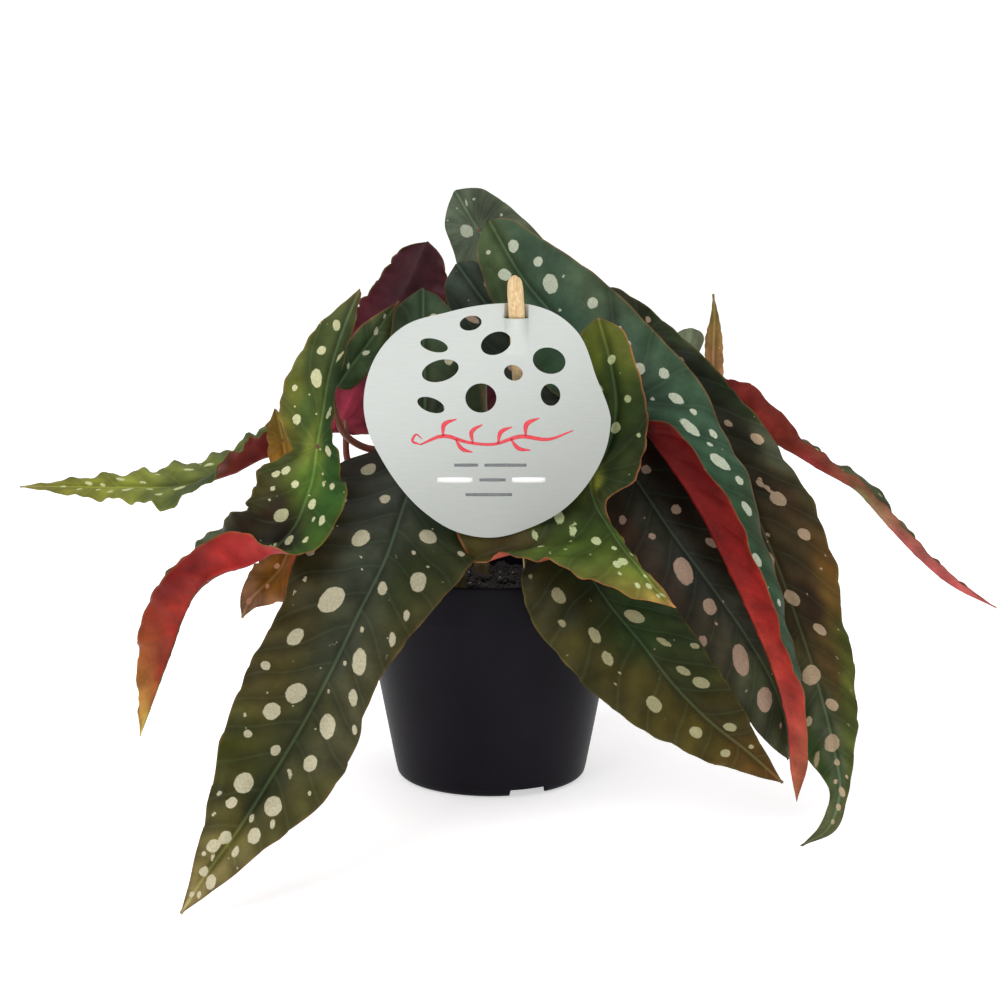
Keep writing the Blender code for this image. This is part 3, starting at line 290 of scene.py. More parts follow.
# How each blade is finished. up and under: places on the upper and lower skin (share of the length from the
# ear, share of the half width from -1 at the left margin to 1 at the right) and the colour there. dots: colour
# of the pale dots, then the largest and smallest radius in mm and how many are tried. hem: the dry coloured
# rim. ruffle and teeth: height and wavelength of the waves and of the teeth along the margin, in mm.
FINISH = {
    "leaf_front_left": dict(
        up=((0.02, 0, "#42563e"), (0.12, 0, "#37432c"), (0.2, -0.8, "#1f1a12"), (0.22, 0.4, "#27301f"),
            # The grey slate colours on and near the midrib, from 0.3 to 0.6 along, are a painted sheen.
            (0.27, -0.5, "#231d13"), (0.3, 0.1, "#2f342a"), (0.33, -0.8, "#231c11"),
            (0.36, -0.2, "#3b3f35"), (0.36, 0.5, "#232f17"), (0.36, 0.95, "#33341a"),
            (0.47, -0.75, "#2f2b18"), (0.48, -0.2, "#3c4134"), (0.48, 0.45, "#2d3318"),
            (0.55, 0.95, "#3a381c"), (0.6, -0.7, "#3f381b"), (0.6, 0.0, "#3c4030"),
            (0.62, 0.6, "#45442f"), (0.7, -0.7, "#463e1c"), (0.72, 0.05, "#34361e"),
            (0.72, 0.7, "#514f36"), (0.8, -0.8, "#3d3f16"), (0.82, 0.0, "#33381a"),
            (0.82, 0.8, "#4a4724"), (0.92, 0.0, "#5c561f"), (0.97, 0.0, "#86783f"),
            (1.0, 0.0, "#c0a878")),
        under=((0.2, 0, "#4a1a20"), (0.7, 0, "#5a221e")), dots="#cdc5a6", dot_sizes=(6.2, 1.0, 120),
        hem="#6e5530", ruffle=(2.2, 46), teeth=(0.5, 17)),
    "leaf_left_mid": dict(
        up=((0.0, 0, "#6a5a3a"), (0.06, 0, "#566640"), (0.13, -0.5, "#505c32"), (0.2, -0.75, "#5a5e26"),
            (0.2, 0.5, "#3c5233"), (0.25, -0.4, "#465a2a"), (0.27, -0.9, "#5c5a22"), (0.26, 0.3, "#36502a"),
            (0.294, -0.3, "#7d8838"), (0.31, 0.0, "#6c8030"), (0.3, 0.6, "#37522a"), (0.33, -0.7, "#434a22"),
            (0.35, 0.6, "#31521f"), (0.35, 0.0, "#4c6a26"), (0.4, -0.8, "#46421c"), (0.42, 0.6, "#335422"),
            (0.44, -0.45, "#2e1f10"), (0.47, -0.15, "#1c120a"), (0.5, -0.7, "#2c1e0f"), (0.5, 0.2, "#24210f"),
            (0.5, 0.8, "#3f5a22"), (0.54, 0.8, "#4a5a22"), (0.55, -0.5, "#2a2010"), (0.6, -0.8, "#485436"),
            (0.6, 0.5, "#4c5422"), (0.7, 0, "#3c5034"), (1.0, 0, "#6a6a34")),
        under=((0.3, 0, "#5a1a1c"), (0.52, 0, "#8c2322"), (0.57, 0.5, "#a02826"), (0.6, 0, "#8c1e19"),
               (0.64, -0.5, "#781613"), (0.68, 0.7, "#70130f"), (0.75, 0, "#8c1c10"), (0.85, 0, "#8c2211"),
               (0.92, 0, "#964c1e"), (0.97, 0, "#a08a3a"), (1.0, 0, "#c8b058")),
        dots="#d8d6a8", dot_sizes=(4.4, 0.9, 70), hem="#98783c", ruffle=(1.6, 21), teeth=(0.5, 8)),
    "leaf_left_rear": dict(
        up=((0.0, 0, "#3c5a38"), (0.45, 0, "#4a6034"), (0.6, 0, "#566636"), (0.66, 0.6, "#4e5e34"),
            (0.72, 0, "#6c7636"), (0.8, 0.0, "#8c9238"), (0.9, 0, "#9c9e3a"), (1.0, 0, "#9a8c48")),
        under=((0.0, 0, "#3a1f23"), (0.1, 0, "#3d2025"), (0.2, 0, "#44222a"), (0.28, 0, "#5a2430"),
               # The bright crimson at 0.34 and 0.4 along is painted light: the glow of light shining through
               # the blade.
               (0.34, 0, "#983244"), (0.4, 0, "#a0384a"), (0.5, 0, "#64201f"), (0.6, 0, "#752c27"),
               (0.7, 0, "#6e4428"), (1.0, 0, "#8a8a3a")),
        dots="#ccd09a", dot_sizes=(3.4, 0.8, 80), hem="#8e8a3c", ruffle=(1.6, 15), teeth=(1.1, 9)),
    "leaf_left_inner": dict(
        up=((0, 0, "#35482a"), (0.4, 0, "#3d5030"), (0.8, 0.3, "#4c5c38"), (1.0, 0, "#6e4630")),
        under=((0.5, 0, "#4a1820"),), dots="#c6c8a8", dot_sizes=(2.6, 0.8, 14),
        hem="#8a5036", ruffle=(0.6, 12),
        teeth=(0.3, 8)),
    "leaf_left_young": dict(
        up=((0, 0, "#94742a"), (0.3, 0, "#9a6a22"), (0.6, -0.5, "#82500f"), (0.6, 0.6, "#8a3414"),
            (0.8, 0, "#8c5c1c"), (0.93, 0, "#b0805c"), (1.0, 0, "#c8a080")),
        under=((0.5, 0, "#96381a"),), dots="#c89070", dot_sizes=(2.2, 0.7, 20), hem="#9a6c34",
        ruffle=(1.6, 14), teeth=(1.2, 9)),
    "leaf_top_rear": dict(
        up=((0, 0, "#5e6954"), (0.15, -0.5, "#64705c"), (0.15, 0.5, "#565e4c"), (0.4, -0.5, "#54644c"),
            (0.4, 0.5, "#383c2e"), (0.7, 0, "#3c4636"), (1, 0, "#4a4a30")),
        under=((0.5, 0, "#3e161c"),), dots="#b4baa4", dot_sizes=(4.2, 1.0, 40),
        hem="#586438", ruffle=(0.8, 36),
        teeth=(0.25, 20)),
    "leaf_right_main": dict(
        up=((0.0, 0, "#4a5838"), (0.08, -0.6, "#4a5a38"), (0.1, 0.6, "#3f5440"), (0.2, 0, "#3c5442"),
            (0.2, 0.8, "#44543c"), (0.3, -0.5, "#365038"), (0.3, 0.5, "#445a48"), (0.32, 0.85, "#425a42"),
            (0.4, 0.5, "#3f5a44"), (0.47, 0.85, "#3c5440"), (0.5, 0.3, "#3a5a42"), (0.6, 0.5, "#345238"),
            (0.6, 0.9, "#3a4a32"), (0.7, 0.6, "#2f4a34"), (0.8, 0.4, "#364c36"), (0.9, 0, "#3a4c34"),
            (1, 0, "#6a5a3a")),
        under=((0.0, 0, "#501214"), (0.4, 0, "#4c0e0e"), (0.5, -0.5, "#5a1010"), (0.6, -0.3, "#701614"),
               (0.7, -0.5, "#8a1e1a"), (0.8, -0.5, "#962a22"), (0.9, 0, "#9c3630"), (0.95, 0, "#a8503c"),
               (1.0, 0, "#a07048")),
        dots="#c3c9b2", dot_sizes=(5.4, 1.0, 60), hem="#86643c", ruffle=(1.0, 40), teeth=(0.3, 22)),
    "leaf_right_dark": dict(
        up=((0.0, 0, "#3c463c"), (0.1, 0, "#363f34"), (0.25, 0, "#232a20"), (0.36, -0.6, "#1e2416"),
            (0.36, 0.5, "#1c130d"), (0.45, -0.5, "#2a2015"), (0.45, -0.1, "#2c2d26"), (0.45, 0.5, "#1e120c"),
            (0.56, -0.7, "#34241a"), (0.56, -0.2, "#34362c"), (0.56, 0.4, "#211711"), (0.66, -0.7, "#40342a"),
            (0.66, -0.2, "#40423c"), (0.66, 0.5, "#281f16"), (0.76, -0.6, "#444030"), (0.76, 0, "#3f4036"),
            (0.86, -0.4, "#4a5038"), (0.9, 0.4, "#50502f"), (1.0, 0, "#545636")),
        under=((0.5, 0, "#4c181c"),), dots="#bda08a", dot_sizes=(6.4, 1.0, 46),
        hem="#5a522e", ruffle=(1.0, 30),
        teeth=(0.3, 15)),
    "leaf_front_low": dict(
        up=((0.0, 0, "#2a2415"), (0.15, -0.6, "#2b2615"), (0.15, 0.6, "#24331a"), (0.25, 0.0, "#243018"),
            (0.3, -0.8, "#332f18"), (0.35, -0.4, "#2a2a15"), (0.35, 0.5, "#2b3d1d"), (0.45, -0.8, "#3e3919"),
            (0.45, 0.1, "#273817"), (0.5, 0.7, "#29321a"), (0.6, -0.5, "#413a17"), (0.6, 0.4, "#303518"),
            (0.75, -0.4, "#4e4417"), (0.75, 0.5, "#3c3616"), (0.9, 0, "#553f14"), (1.0, 0, "#643814")),
        under=((0.5, 0, "#4c1a1a"),), dots="#aca67e", dot_sizes=(4.6, 1.0, 44),
        hem="#5c5428", ruffle=(1.2, 22),
        teeth=(0.5, 12)),
    "leaf_right_brown": dict(
        up=((0.0, 0, "#47402f"), (0.08, 0.3, "#3c3c2e"), (0.12, 0.85, "#353f28"), (0.18, 0.6, "#1f241b"),
            (0.25, 0.9, "#222c16"), (0.3, 0.5, "#2a281d"), (0.33, 0.9, "#5a5e48"), (0.38, 0.3, "#30291a"),
            (0.42, 0.65, "#44321f"), (0.42, 0.95, "#3f3a22"), (0.5, 0.3, "#423722"), (0.52, 0.9, "#5c401a"),
            (0.58, 0.4, "#38271a"), (0.58, 0.85, "#63481f"), (0.62, 0.95, "#464e1c"), (0.68, 0.4, "#513f20"),
            (0.72, 0.9, "#5a6026"), (0.78, -0.1, "#545c42"), (0.8, 0.9, "#495424"), (0.88, 0, "#546444"),
            (0.95, 0, "#626c44"), (1.0, 0, "#8c8a60"), (0.5, -0.8, "#3a2e1b"), (0.8, -0.8, "#3d5428")),
        under=((0.5, 0, "#4c1c1e"),), dots="#bfa688", dot_sizes=(5.4, 0.8, 80), hem="#6a5c2e",
        ruffle=(1.8, 34), teeth=(0.5, 13)),
    "leaf_front_bright": dict(
        up=((0.0, 0, "#686e28"), (0.1, -0.6, "#5c6626"), (0.12, 0.7, "#545a24"), (0.18, -0.1, "#3a4a1e"),
            (0.24, 0.8, "#2c3818"), (0.28, 0.4, "#2c3a18"), (0.33, 0.9, "#2a3417"), (0.36, 0, "#202e15"),
            (0.42, -0.5, "#1e2c14"), (0.437, 0.35, "#1e2a14"), (0.45, 0.9, "#283216"),
            (0.484, 0.2, "#94983a"), (0.47, 0.5, "#26321a"), (0.5, -0.6, "#252c14"),
            (0.5, -0.1, "#323c18"), (0.51, 0.4, "#2c3616"), (0.54, 0.1, "#303e18"),
            (0.55, -0.8, "#33321a"), (0.58, -0.3, "#2c3516"), (0.62, -0.7, "#403418"),
            (0.64, -0.2, "#3e521e"), (0.7, 0.5, "#547026"), (0.75, -0.5, "#546828"), (0.85, 0, "#66742a"),
            (0.95, 0, "#7c7a30"), (1.0, 0, "#b08048")),
        under=((0.5, 0, "#7c342a"), (1, 0, "#a05438")), dots="#c2cc98", dot_sizes=(4.0, 0.8, 70),
        hem="#b06c48",
        ruffle=(1.8, 15), teeth=(0.5, 8)),
    "leaf_far_right": dict(
        up=((0.5, 0, "#4f5a3a"), (1.0, 0, "#7a4a34")),
        under=((0.0, 0, "#942e34"), (0.2, 0, "#98342f"), (0.3, 0, "#783023"), (0.4, 0, "#8c3232"),
               (0.48, 0, "#8a4232"), (0.54, 0, "#847a50"), (0.6, 0, "#947052"), (0.7, 0, "#a4544e"),
               (0.85, 0, "#ae5050"), (1.0, 0, "#b85c54")),
        dots="#b9b48a", dot_sizes=(2.4, 0.8, 30), hem="#7c362a", ruffle=(1.4, 19), teeth=(0.6, 9)),
    "leaf_right_tip": dict(
        up=((0.0, 0, "#c48a78"), (0.3, 0.3, "#ba8a5a"), (0.6, 0, "#a8844c"), (0.85, 0, "#907c40"),
            (1.0, 0, "#7c6a34")),
        under=((0.0, 0, "#c48a78"), (0.3, 0.3, "#bc8c5c"), (0.6, 0, "#aa864e"), (0.85, 0, "#907c40"),
               (1.0, 0, "#7c6a34")),
        dots="#c8a070", dot_sizes=(1.2, 0.5, 12), hem="#a07c44", ruffle=(0.9, 6), teeth=(1.3, 5)),
    "leaf_rear_left": dict(
        up=((0, 0, "#45523a"), (0.5, -0.5, "#33422a"), (0.5, 0.5, "#3c4a2e"), (1, 0, "#57602c")),
        under=((0.0, 0, "#421820"), (0.6, 0, "#561a20"), (1.0, 0, "#762e28")), dots="#c2c4a6",
        dot_sizes=(4.6, 1.0, 34), hem="#77683a", ruffle=(1.6, 32), teeth=(0.4, 14)),
    "leaf_rear_mid": dict(
        up=((0, 0, "#3c4c3c"), (0.4, -0.5, "#3a4a3c"), (0.5, 0.5, "#3c3a26"), (1, 0, "#4c5a28")),
        under=((0.0, 0, "#3e161c"), (0.6, 0, "#5a1a22"), (1.0, 0, "#7c2e2e")), dots="#c0c2aa",
        dot_sizes=(4.8, 1.0, 38), hem="#7a6a3a", ruffle=(1.8, 36), teeth=(0.4, 15)),
    "leaf_rear_right": dict(
        up=((0, 0, "#5a6c58"), (0.3, 0, "#46583f"), (0.6, 0.4, "#3a4526"), (1, 0, "#5c6030")),
        under=((0.0, 0, "#8a9678"), (0.1, 0, "#75826a"), (0.2, 0, "#4c1c22"), (0.6, 0, "#66201f"),
               (1.0, 0, "#80362f")), dots="#c6cab2",
        dot_sizes=(3.8, 1.0, 28), hem="#7c6c3c", ruffle=(1.4, 28), teeth=(0.4, 13)),
    "leaf_rear_low_left": dict(
        up=((0, 0, "#33371f"), (0.5, -0.5, "#2f3a1e"), (0.5, 0.5, "#3f3a20"), (1, 0, "#5a4a22")),
        under=((0.0, 0, "#3e161c"), (1.0, 0, "#642424")), dots="#bdb48e", dot_sizes=(4.0, 1.0, 30),
        hem="#6e6234", ruffle=(1.4, 24), teeth=(0.4, 12)),
    "leaf_rear_low_right": dict(
        up=((0, 0, "#3a3421"), (0.5, -0.5, "#33401f"), (0.5, 0.5, "#3a2f1c"), (1, 0, "#5e4c22")),
        under=((0.0, 0, "#3e161c"), (1.0, 0, "#642424")), dots="#bfa98a", dot_sizes=(4.0, 1.0, 30),
        hem="#6e6234", ruffle=(1.4, 26), teeth=(0.4, 12)),
}

# Pale dots that have their own place: share of the length, share of the half width, then the two radii in
# mm, the first one along the side veins.
DOTS = {
    "leaf_front_left": (
        (0.04, 0.3, 2.2, 1.8), (0.08, -0.3, 2.6, 2.2), (0.1, 0.5, 2.4, 2.0), (0.15, -0.4, 2.8, 2.2),
        (0.17, 0.4, 2.6, 2.2), (0.24, -0.5, 3.0, 2.4), (0.25, 0.5, 3.6, 2.8), (0.305, -0.55, 4.2, 2.7),
        (0.32, 0.3, 3.4, 2.6), (0.36, -0.25, 2.8, 2.0), (0.385, -0.76, 2.3, 1.9), (0.405, 0.37, 4.2, 3.6),
        (0.445, -0.37, 5.0, 3.0), (0.505, -0.86, 2.2, 1.8), (0.475, -0.28, 0.9, 0.7),
        (0.49, -0.2, 0.8, 0.6), (0.552, -0.37, 6.4, 4.1), (0.545, -0.78, 1.1, 1.0),
        (0.565, -0.86, 1.1, 0.9), (0.615, -0.62, 3.8, 2.7), (0.6, -0.09, 1.0, 0.6),
        (0.606, -0.15, 0.8, 0.6), (0.675, -0.79, 2.2, 1.9), (0.69, -0.27, 5.0, 3.5),
        (0.73, -0.44, 4.0, 3.1), (0.755, -0.76, 1.1, 0.8), (0.775, -0.62, 1.8, 1.6),
        (0.77, -0.15, 2.3, 1.8), (0.83, -0.36, 4.2, 3.3), (0.86, -0.42, 2.5, 1.8),
        (0.897, -0.16, 2.8, 2.1), (0.915, -0.36, 2.9, 2.1), (0.86, -0.76, 1.2, 0.8),
        (0.885, -0.72, 1.4, 0.7), (0.945, -0.2, 2.0, 1.5), (0.925, -0.18, 1.0, 0.7),
        (0.93, -0.6, 0.9, 0.7), (0.44, 0.3, 1.3, 0.9), (0.485, 0.55, 4.8, 3.1), (0.42, 0.8, 2.0, 1.5),
        (0.505, 0.16, 3.5, 1.8), (0.45, 0.12, 1.0, 0.4), (0.46, 0.55, 0.8, 0.7), (0.535, 0.72, 2.3, 1.2),
        (0.57, 0.76, 2.6, 1.2), (0.57, 0.2, 1.3, 0.8), (0.61, 0.45, 5.0, 2.7), (0.62, 0.2, 1.1, 0.7),
        (0.59, 0.86, 0.9, 0.5), (0.655, 0.64, 3.4, 1.8), (0.665, 0.14, 0.9, 0.7), (0.71, 0.4, 5.2, 2.9),
        (0.695, 0.86, 2.3, 1.1), (0.765, 0.45, 3.4, 2.4), (0.79, 0.28, 1.4, 0.7), (0.785, 0.22, 0.8, 0.6),
        (0.8, 0.72, 1.0, 0.6), (0.835, 0.36, 4.0, 3.1), (0.86, 0.14, 1.8, 1.0), (0.878, 0.5, 3.2, 2.2),
        (0.855, 0.62, 1.5, 0.9), (0.905, 0.4, 2.1, 1.3), (0.95, 0.5, 2.8, 1.8), (0.975, -0.1, 1.3, 0.8),
        (0.97, 0.5, 1.3, 0.7), (0.65, -0.5, 0.6, 0.5), (0.71, -0.6, 0.6, 0.4), (0.52, 0.35, 0.7, 0.5)),
    "leaf_right_main": (
        (0.04, -0.55, 1.1, 1.0), (0.055, 0.28, 2.9, 2.4), (0.1, 0.5, 2.4, 2.1), (0.14, 0.36, 4.5, 3.3),
        (0.145, 0.62, 0.8, 0.7), (0.085, -0.36, 3.0, 2.6), (0.208, 0.62, 2.6, 2.3), (0.265, 0.66, 1.3, 1.0),
        (0.29, 0.56, 2.8, 2.4), (0.355, 0.68, 2.5, 2.0), (0.33, 0.48, 2.8, 2.3), (0.395, 0.6, 3.2, 2.1),
        (0.42, 0.7, 1.7, 1.3), (0.455, 0.8, 2.2, 1.6), (0.47, 0.66, 1.4, 1.0), (0.44, 0.54, 4.6, 2.1),
        (0.5, 0.66, 5.0, 2.9), (0.535, 0.79, 2.4, 1.8), (0.575, 0.74, 3.2, 2.2), (0.235, -0.25, 2.4, 1.9),
        (0.295, -0.75, 2.5, 2.2), (0.64, 0.6, 2.8, 2.2), (0.7, 0.8, 1.6, 1.3), (0.72, 0.4, 2.6, 1.8),
        (0.79, 0.6, 2.0, 1.5), (0.86, 0.4, 1.6, 1.2), (0.18, 0.15, 1.0, 0.8), (0.25, 0.3, 1.8, 1.4),
        (0.38, 0.35, 1.2, 0.9)),
    "leaf_right_dark": (
        (0.1, -0.55, 3.4, 1.7), (0.06, 0.5, 1.6, 1.2), (0.16, 0.3, 2.6, 1.9), (0.2, -0.5, 2.4, 2.0),
        (0.28, 0.35, 2.8, 2.2), (0.3, -0.4, 2.4, 1.9), (0.4, 0.4, 2.6, 2.0), (0.42, -0.5, 2.8, 2.0),
        (0.485, 0.26, 2.3, 1.9), (0.535, -0.62, 2.5, 1.6), (0.585, -0.35, 1.9, 1.4), (0.565, 0.3, 2.3, 2.0),
        (0.655, -0.26, 6.2, 3.6), (0.72, -0.27, 3.5, 2.9), (0.755, -0.76, 2.2, 1.8), (0.745, -0.36, 1.4, 0.7),
        (0.81, -0.4, 6.2, 3.5), (0.88, -0.4, 4.5, 3.9), (0.93, -0.3, 1.3, 0.8), (0.85, -0.66, 0.8, 0.6),
        (0.66, 0.36, 0.8, 0.5), (0.64, 0.5, 3.0, 1.8), (0.76, 0.5, 3.2, 2.2), (0.84, 0.5, 2.4, 1.7)),
    "leaf_front_low": (
        (0.1, 0.3, 2.0, 1.5), (0.14, -0.4, 2.2, 1.7), (0.2, 0.45, 2.4, 1.9), (0.32, -0.55, 3.8, 2.5),
        (0.395, -0.68, 1.9, 1.5), (0.44, -0.43, 3.8, 2.1), (0.505, -0.5, 3.1, 2.0), (0.405, 0.25, 3.6, 3.2),
        (0.5, 0.38, 3.0, 1.3), (0.54, 0.85, 2.0, 1.5), (0.595, 0.36, 2.9, 1.7), (0.645, 0.5, 3.2, 2.5),
        (0.64, -0.46, 3.6, 2.6), (0.75, -0.4, 2.7, 2.2), (0.84, -0.45, 2.0, 1.7), (0.79, 0.3, 2.6, 2.0),
        (0.87, 0.35, 1.1, 0.9), (0.545, -0.5, 0.8, 0.6), (0.565, -0.66, 0.9, 0.6), (0.475, -0.9, 0.8, 0.6),
        (0.34, -0.2, 0.7, 0.6), (0.68, -0.55, 0.6, 0.5), (0.26, -0.86, 1.7, 0.7), (0.28, 0.5, 2.6, 1.9)),
    "leaf_right_brown": (
        (0.03, 0.2, 1.4, 1.1), (0.08, 0.6, 1.5, 1.2), (0.11, -0.3, 2.2, 1.8), (0.16, 0.45, 1.9, 1.6),
        (0.2, -0.3, 2.6, 2.0), (0.28, 0.42, 1.9, 1.5), (0.315, 0.72, 2.8, 2.3), (0.385, 0.3, 1.9, 1.3),
        (0.395, 0.38, 1.3, 1.1), (0.378, 0.34, 1.1, 0.9), (0.415, 0.46, 3.6, 3.2), (0.475, 0.62, 2.8, 2.5),
        (0.51, -0.14, 4.3, 3.0), (0.575, 0.05, 4.0, 2.9), (0.625, 0.4, 2.9, 2.6), (0.7, -0.08, 4.4, 3.9),
        (0.75, 0.25, 2.8, 2.5), (0.765, -0.5, 2.2, 1.7), (0.81, -0.02, 4.0, 3.1), (0.84, 0.0, 1.5, 1.2),
        (0.825, -0.72, 3.0, 1.2), (0.885, 0.25, 2.4, 1.2), (0.91, 0.15, 1.6, 0.9), (0.935, 0.1, 1.4, 0.8),
        (0.47, 0.05, 1.3, 0.9), (0.57, 0.36, 0.8, 0.7), (0.53, 0.72, 0.8, 0.7), (0.51, 0.86, 0.9, 0.6),
        (0.65, 0.78, 0.7, 0.6), (0.67, 0.62, 0.7, 0.5), (0.72, 0.86, 0.7, 0.6), (0.43, 0.82, 0.7, 0.5),
        (0.6, -0.5, 3.2, 2.4), (0.44, -0.5, 3.0, 2.3), (0.33, -0.4, 2.8, 2.2), (0.68, -0.6, 2.2, 1.7),
        (0.87, -0.3, 1.2, 0.8), (0.86, 0.6, 0.8, 0.6), (0.78, 0.7, 0.7, 0.6), (0.62, 0.8, 0.6, 0.5)),
    "leaf_front_bright": (
        (0.125, 0.08, 1.9, 1.8), (0.235, 0.4, 1.4, 1.3), (0.315, 0.06, 2.4, 2.0), (0.325, 0.75, 0.9, 0.9),
        (0.2, -0.4, 2.0, 1.6), (0.34, -0.5, 2.2, 1.7), (0.45, -0.5, 2.4, 1.8), (0.585, -0.28, 3.2, 1.9),
        (0.635, -0.25, 3.0, 1.4), (0.7, -0.18, 3.2, 1.9), (0.675, -0.34, 1.4, 0.7), (0.745, -0.1, 1.7, 1.1),
        (0.812, -0.16, 2.8, 1.8), (0.822, -0.27, 2.4, 1.5), (0.77, -0.42, 1.2, 0.6), (0.905, -0.35, 2.0, 1.0),
        (0.91, -0.12, 2.0, 1.1), (0.945, 0.1, 1.2, 0.8), (0.95, -0.2, 1.3, 0.7), (0.66, -0.75, 2.2, 1.3),
        (0.68, -0.6, 3.0, 1.7), (0.62, -0.5, 2.1, 1.2), (0.735, -0.72, 1.1, 0.6), (0.73, -0.55, 1.3, 0.7),
        (0.61, -0.2, 0.8, 0.7), (0.86, -0.4, 1.1, 0.6), (0.87, 0.0, 1.0, 0.6), (0.55, -0.6, 2.4, 1.6),
        (0.76, 0.5, 1.2, 0.6), (0.58, -0.85, 1.2, 0.8)),
    "leaf_left_mid": (
        (0.082, -0.35, 2.8, 1.6), (0.13, -0.42, 2.0, 1.7), (0.18, -0.3, 4.3, 2.2), (0.14, 0.45, 2.8, 1.0),
        (0.195, -0.74, 1.4, 1.2), (0.25, -0.62, 2.2, 1.8), (0.24, 0.45, 2.8, 0.9), (0.31, 0.5, 2.6, 1.2),
        (0.352, -0.5, 3.0, 1.6), (0.364, -0.64, 2.2, 1.5), (0.375, -0.27, 2.0, 1.4), (0.395, -0.63, 1.5, 1.1),
        (0.42, -0.62, 0.9, 0.7), (0.385, 0.6, 2.3, 1.1), (0.375, 0.35, 1.7, 0.6), (0.41, 0.2, 2.8, 1.5),
        (0.445, 0.6, 2.1, 1.2), (0.44, 0.38, 1.2, 0.7), (0.44, -0.3, 3.6, 2.5), (0.475, 0.14, 2.8, 1.3),
        (0.475, 0.52, 1.3, 1.0), (0.492, -0.05, 2.0, 0.8), (0.52, 0.5, 1.6, 1.0), (0.56, 0.5, 2.4, 1.6),
        (0.63, 0.3, 2.6, 1.8), (0.7, -0.3, 2.2, 1.6), (0.78, 0.2, 2.0, 1.4), (0.35, 0.3, 0.8, 0.6)),
    "leaf_left_rear": (
        (0.72, 0.3, 2.8, 1.3), (0.755, 0.5, 2.0, 0.8), (0.772, 0.25, 1.6, 0.8), (0.81, 0.3, 2.6, 1.3),
        (0.708, -0.5, 2.6, 0.9), (0.76, -0.5, 1.6, 0.8), (0.785, -0.2, 1.7, 0.9), (0.825, -0.4, 2.2, 1.0),
        (0.855, -0.12, 1.3, 0.8), (0.88, -0.25, 1.7, 0.9), (0.895, 0.4, 1.2, 0.6), (0.84, 0.55, 1.5, 0.7),
        (0.862, 0.35, 1.1, 0.6), (0.925, 0.0, 1.2, 0.6), (0.675, -0.5, 2.6, 1.0), (0.735, 0.05, 1.2, 0.6),
        (0.64, 0.4, 2.4, 1.2), (0.55, -0.4, 2.4, 1.3), (0.45, 0.3, 2.6, 1.8), (0.35, -0.4, 3.2, 2.4),
        (0.28, 0.4, 3.4, 2.6), (0.2, -0.3, 3.6, 2.8), (0.12, 0.4, 3.0, 2.2), (0.08, -0.3, 2.2, 1.8)),
    "leaf_left_inner": (
        (0.62, 0.05, 2.0, 1.1), (0.4, -0.2, 2.0, 1.1), (0.78, 0.3, 1.2, 0.7), (0.2, 0.2, 1.3, 0.9)),
    "leaf_left_young": (
        (0.6, 0.25, 1.5, 1.2), (0.72, -0.15, 1.4, 1.2), (0.82, 0.1, 1.2, 1.0), (0.5, -0.3, 1.3, 1.0),
        (0.92, 0.0, 1.7, 1.1), (0.66, -0.5, 0.8, 0.6), (0.3, 0.3, 1.2, 1.0)),
    "leaf_top_rear": (
        (0.118, -0.35, 3.6, 2.7), (0.055, 0.45, 0.9, 0.8), (0.05, 0.15, 1.6, 0.5), (0.25, -0.5, 3.0, 2.2),
        (0.3, 0.4, 2.8, 2.2), (0.4, -0.3, 3.0, 2.2), (0.5, 0.4, 2.6, 2.0), (0.55, -0.4, 2.8, 2.1),
        (0.62, 0.1, 1.6, 1.2), (0.7, -0.3, 2.4, 1.7), (0.75, 0.4, 2.0, 1.6), (0.85, 0.0, 1.6, 1.2),
        (0.2, 0.1, 0.9, 0.7), (0.16, 0.7, 1.0, 0.8)),
}



# Floor, in millimetres.
FLOOR_REACH = 9000.0
FLOOR_HEIGHT = -0.6
# Lamps, in metres and watts: name, place, side and power. The camera looks down by EYE_DOWN degrees.
LAMPS = (("key", (-0.9, -1.1, 1.5), 1.1, 13.0), ("fill", (1.2, -1.0, 0.9), 1.2, 4.0),
         ("top", (0.1, 0.3, 1.8), 1.4, 6.0))
LAMPS_AIM = (0.0, -0.03, 0.12)
EYE_PLACE = (0.004, -0.858, 0.254)
EYE_DOWN = 8.6


def linear(code):
    """A hex colour, as screens show it, turned to linear light."""
    parts = [int(code[k:k + 2], 16) / 255 for k in (1, 3, 5)]
    return tuple(p / 12.92 if p <= 0.04045 else ((p + 0.055) / 1.055) ** 2.4 for p in parts) + (1.0,)


def add(tree, kind, inputs=(), **settings):
    """Adds a node: settings are its properties, inputs its values or the sockets that feed it."""
    made = tree.nodes.new(kind)
    for key, value in settings.items():
        setattr(made, key, value)
    for key, value in dict(inputs).items():
        if isinstance(value, bpy.types.NodeSocket):
            tree.links.new(value, made.inputs[key])
        else:
            made.inputs[key].default_value = value
    return made


def start_material(name):
    mat = bpy.data.materials.new(name)
    mat.use_nodes = True
    tree = mat.node_tree
    return mat, tree, tree.nodes["Principled BSDF"]


def plug(tree, socket, value):
    tree.links.new(value, socket)


def unit(vectors):
    length = np.linalg.norm(vectors, axis=-1, keepdims=True)
    return vectors / np.maximum(length, 1e-9)


def through(knots, values, at):
    """A smooth curve through the values at the knots, read at other places along it."""
    values = np.asarray(values, float)
    slope = np.gradient(values, knots, axis=0)
    k = np.clip(np.searchsorted(knots, at, side="right") - 1, 0, len(knots) - 2)
    span = (knots[k + 1] - knots[k])[:, None]
    u = ((at - knots[k])[:, None]) / span
    return ((2 * u**3 - 3 * u**2 + 1) * values[k] + (u**3 - 2 * u**2 + u) * span * slope[k]
            + (3 * u**2 - 2 * u**3) * values[k + 1] + (u**3 - u**2) * span * slope[k + 1])


def chords(points):
    steps = np.linalg.norm(np.diff(np.asarray(points, float), axis=0), axis=1)
    return np.concatenate([[0.0], np.cumsum(steps)])


def keep_width(offset, least):
    length = np.linalg.norm(offset, axis=1, keepdims=True)
    return offset * np.maximum(1.0, least / np.maximum(length, 1e-6))


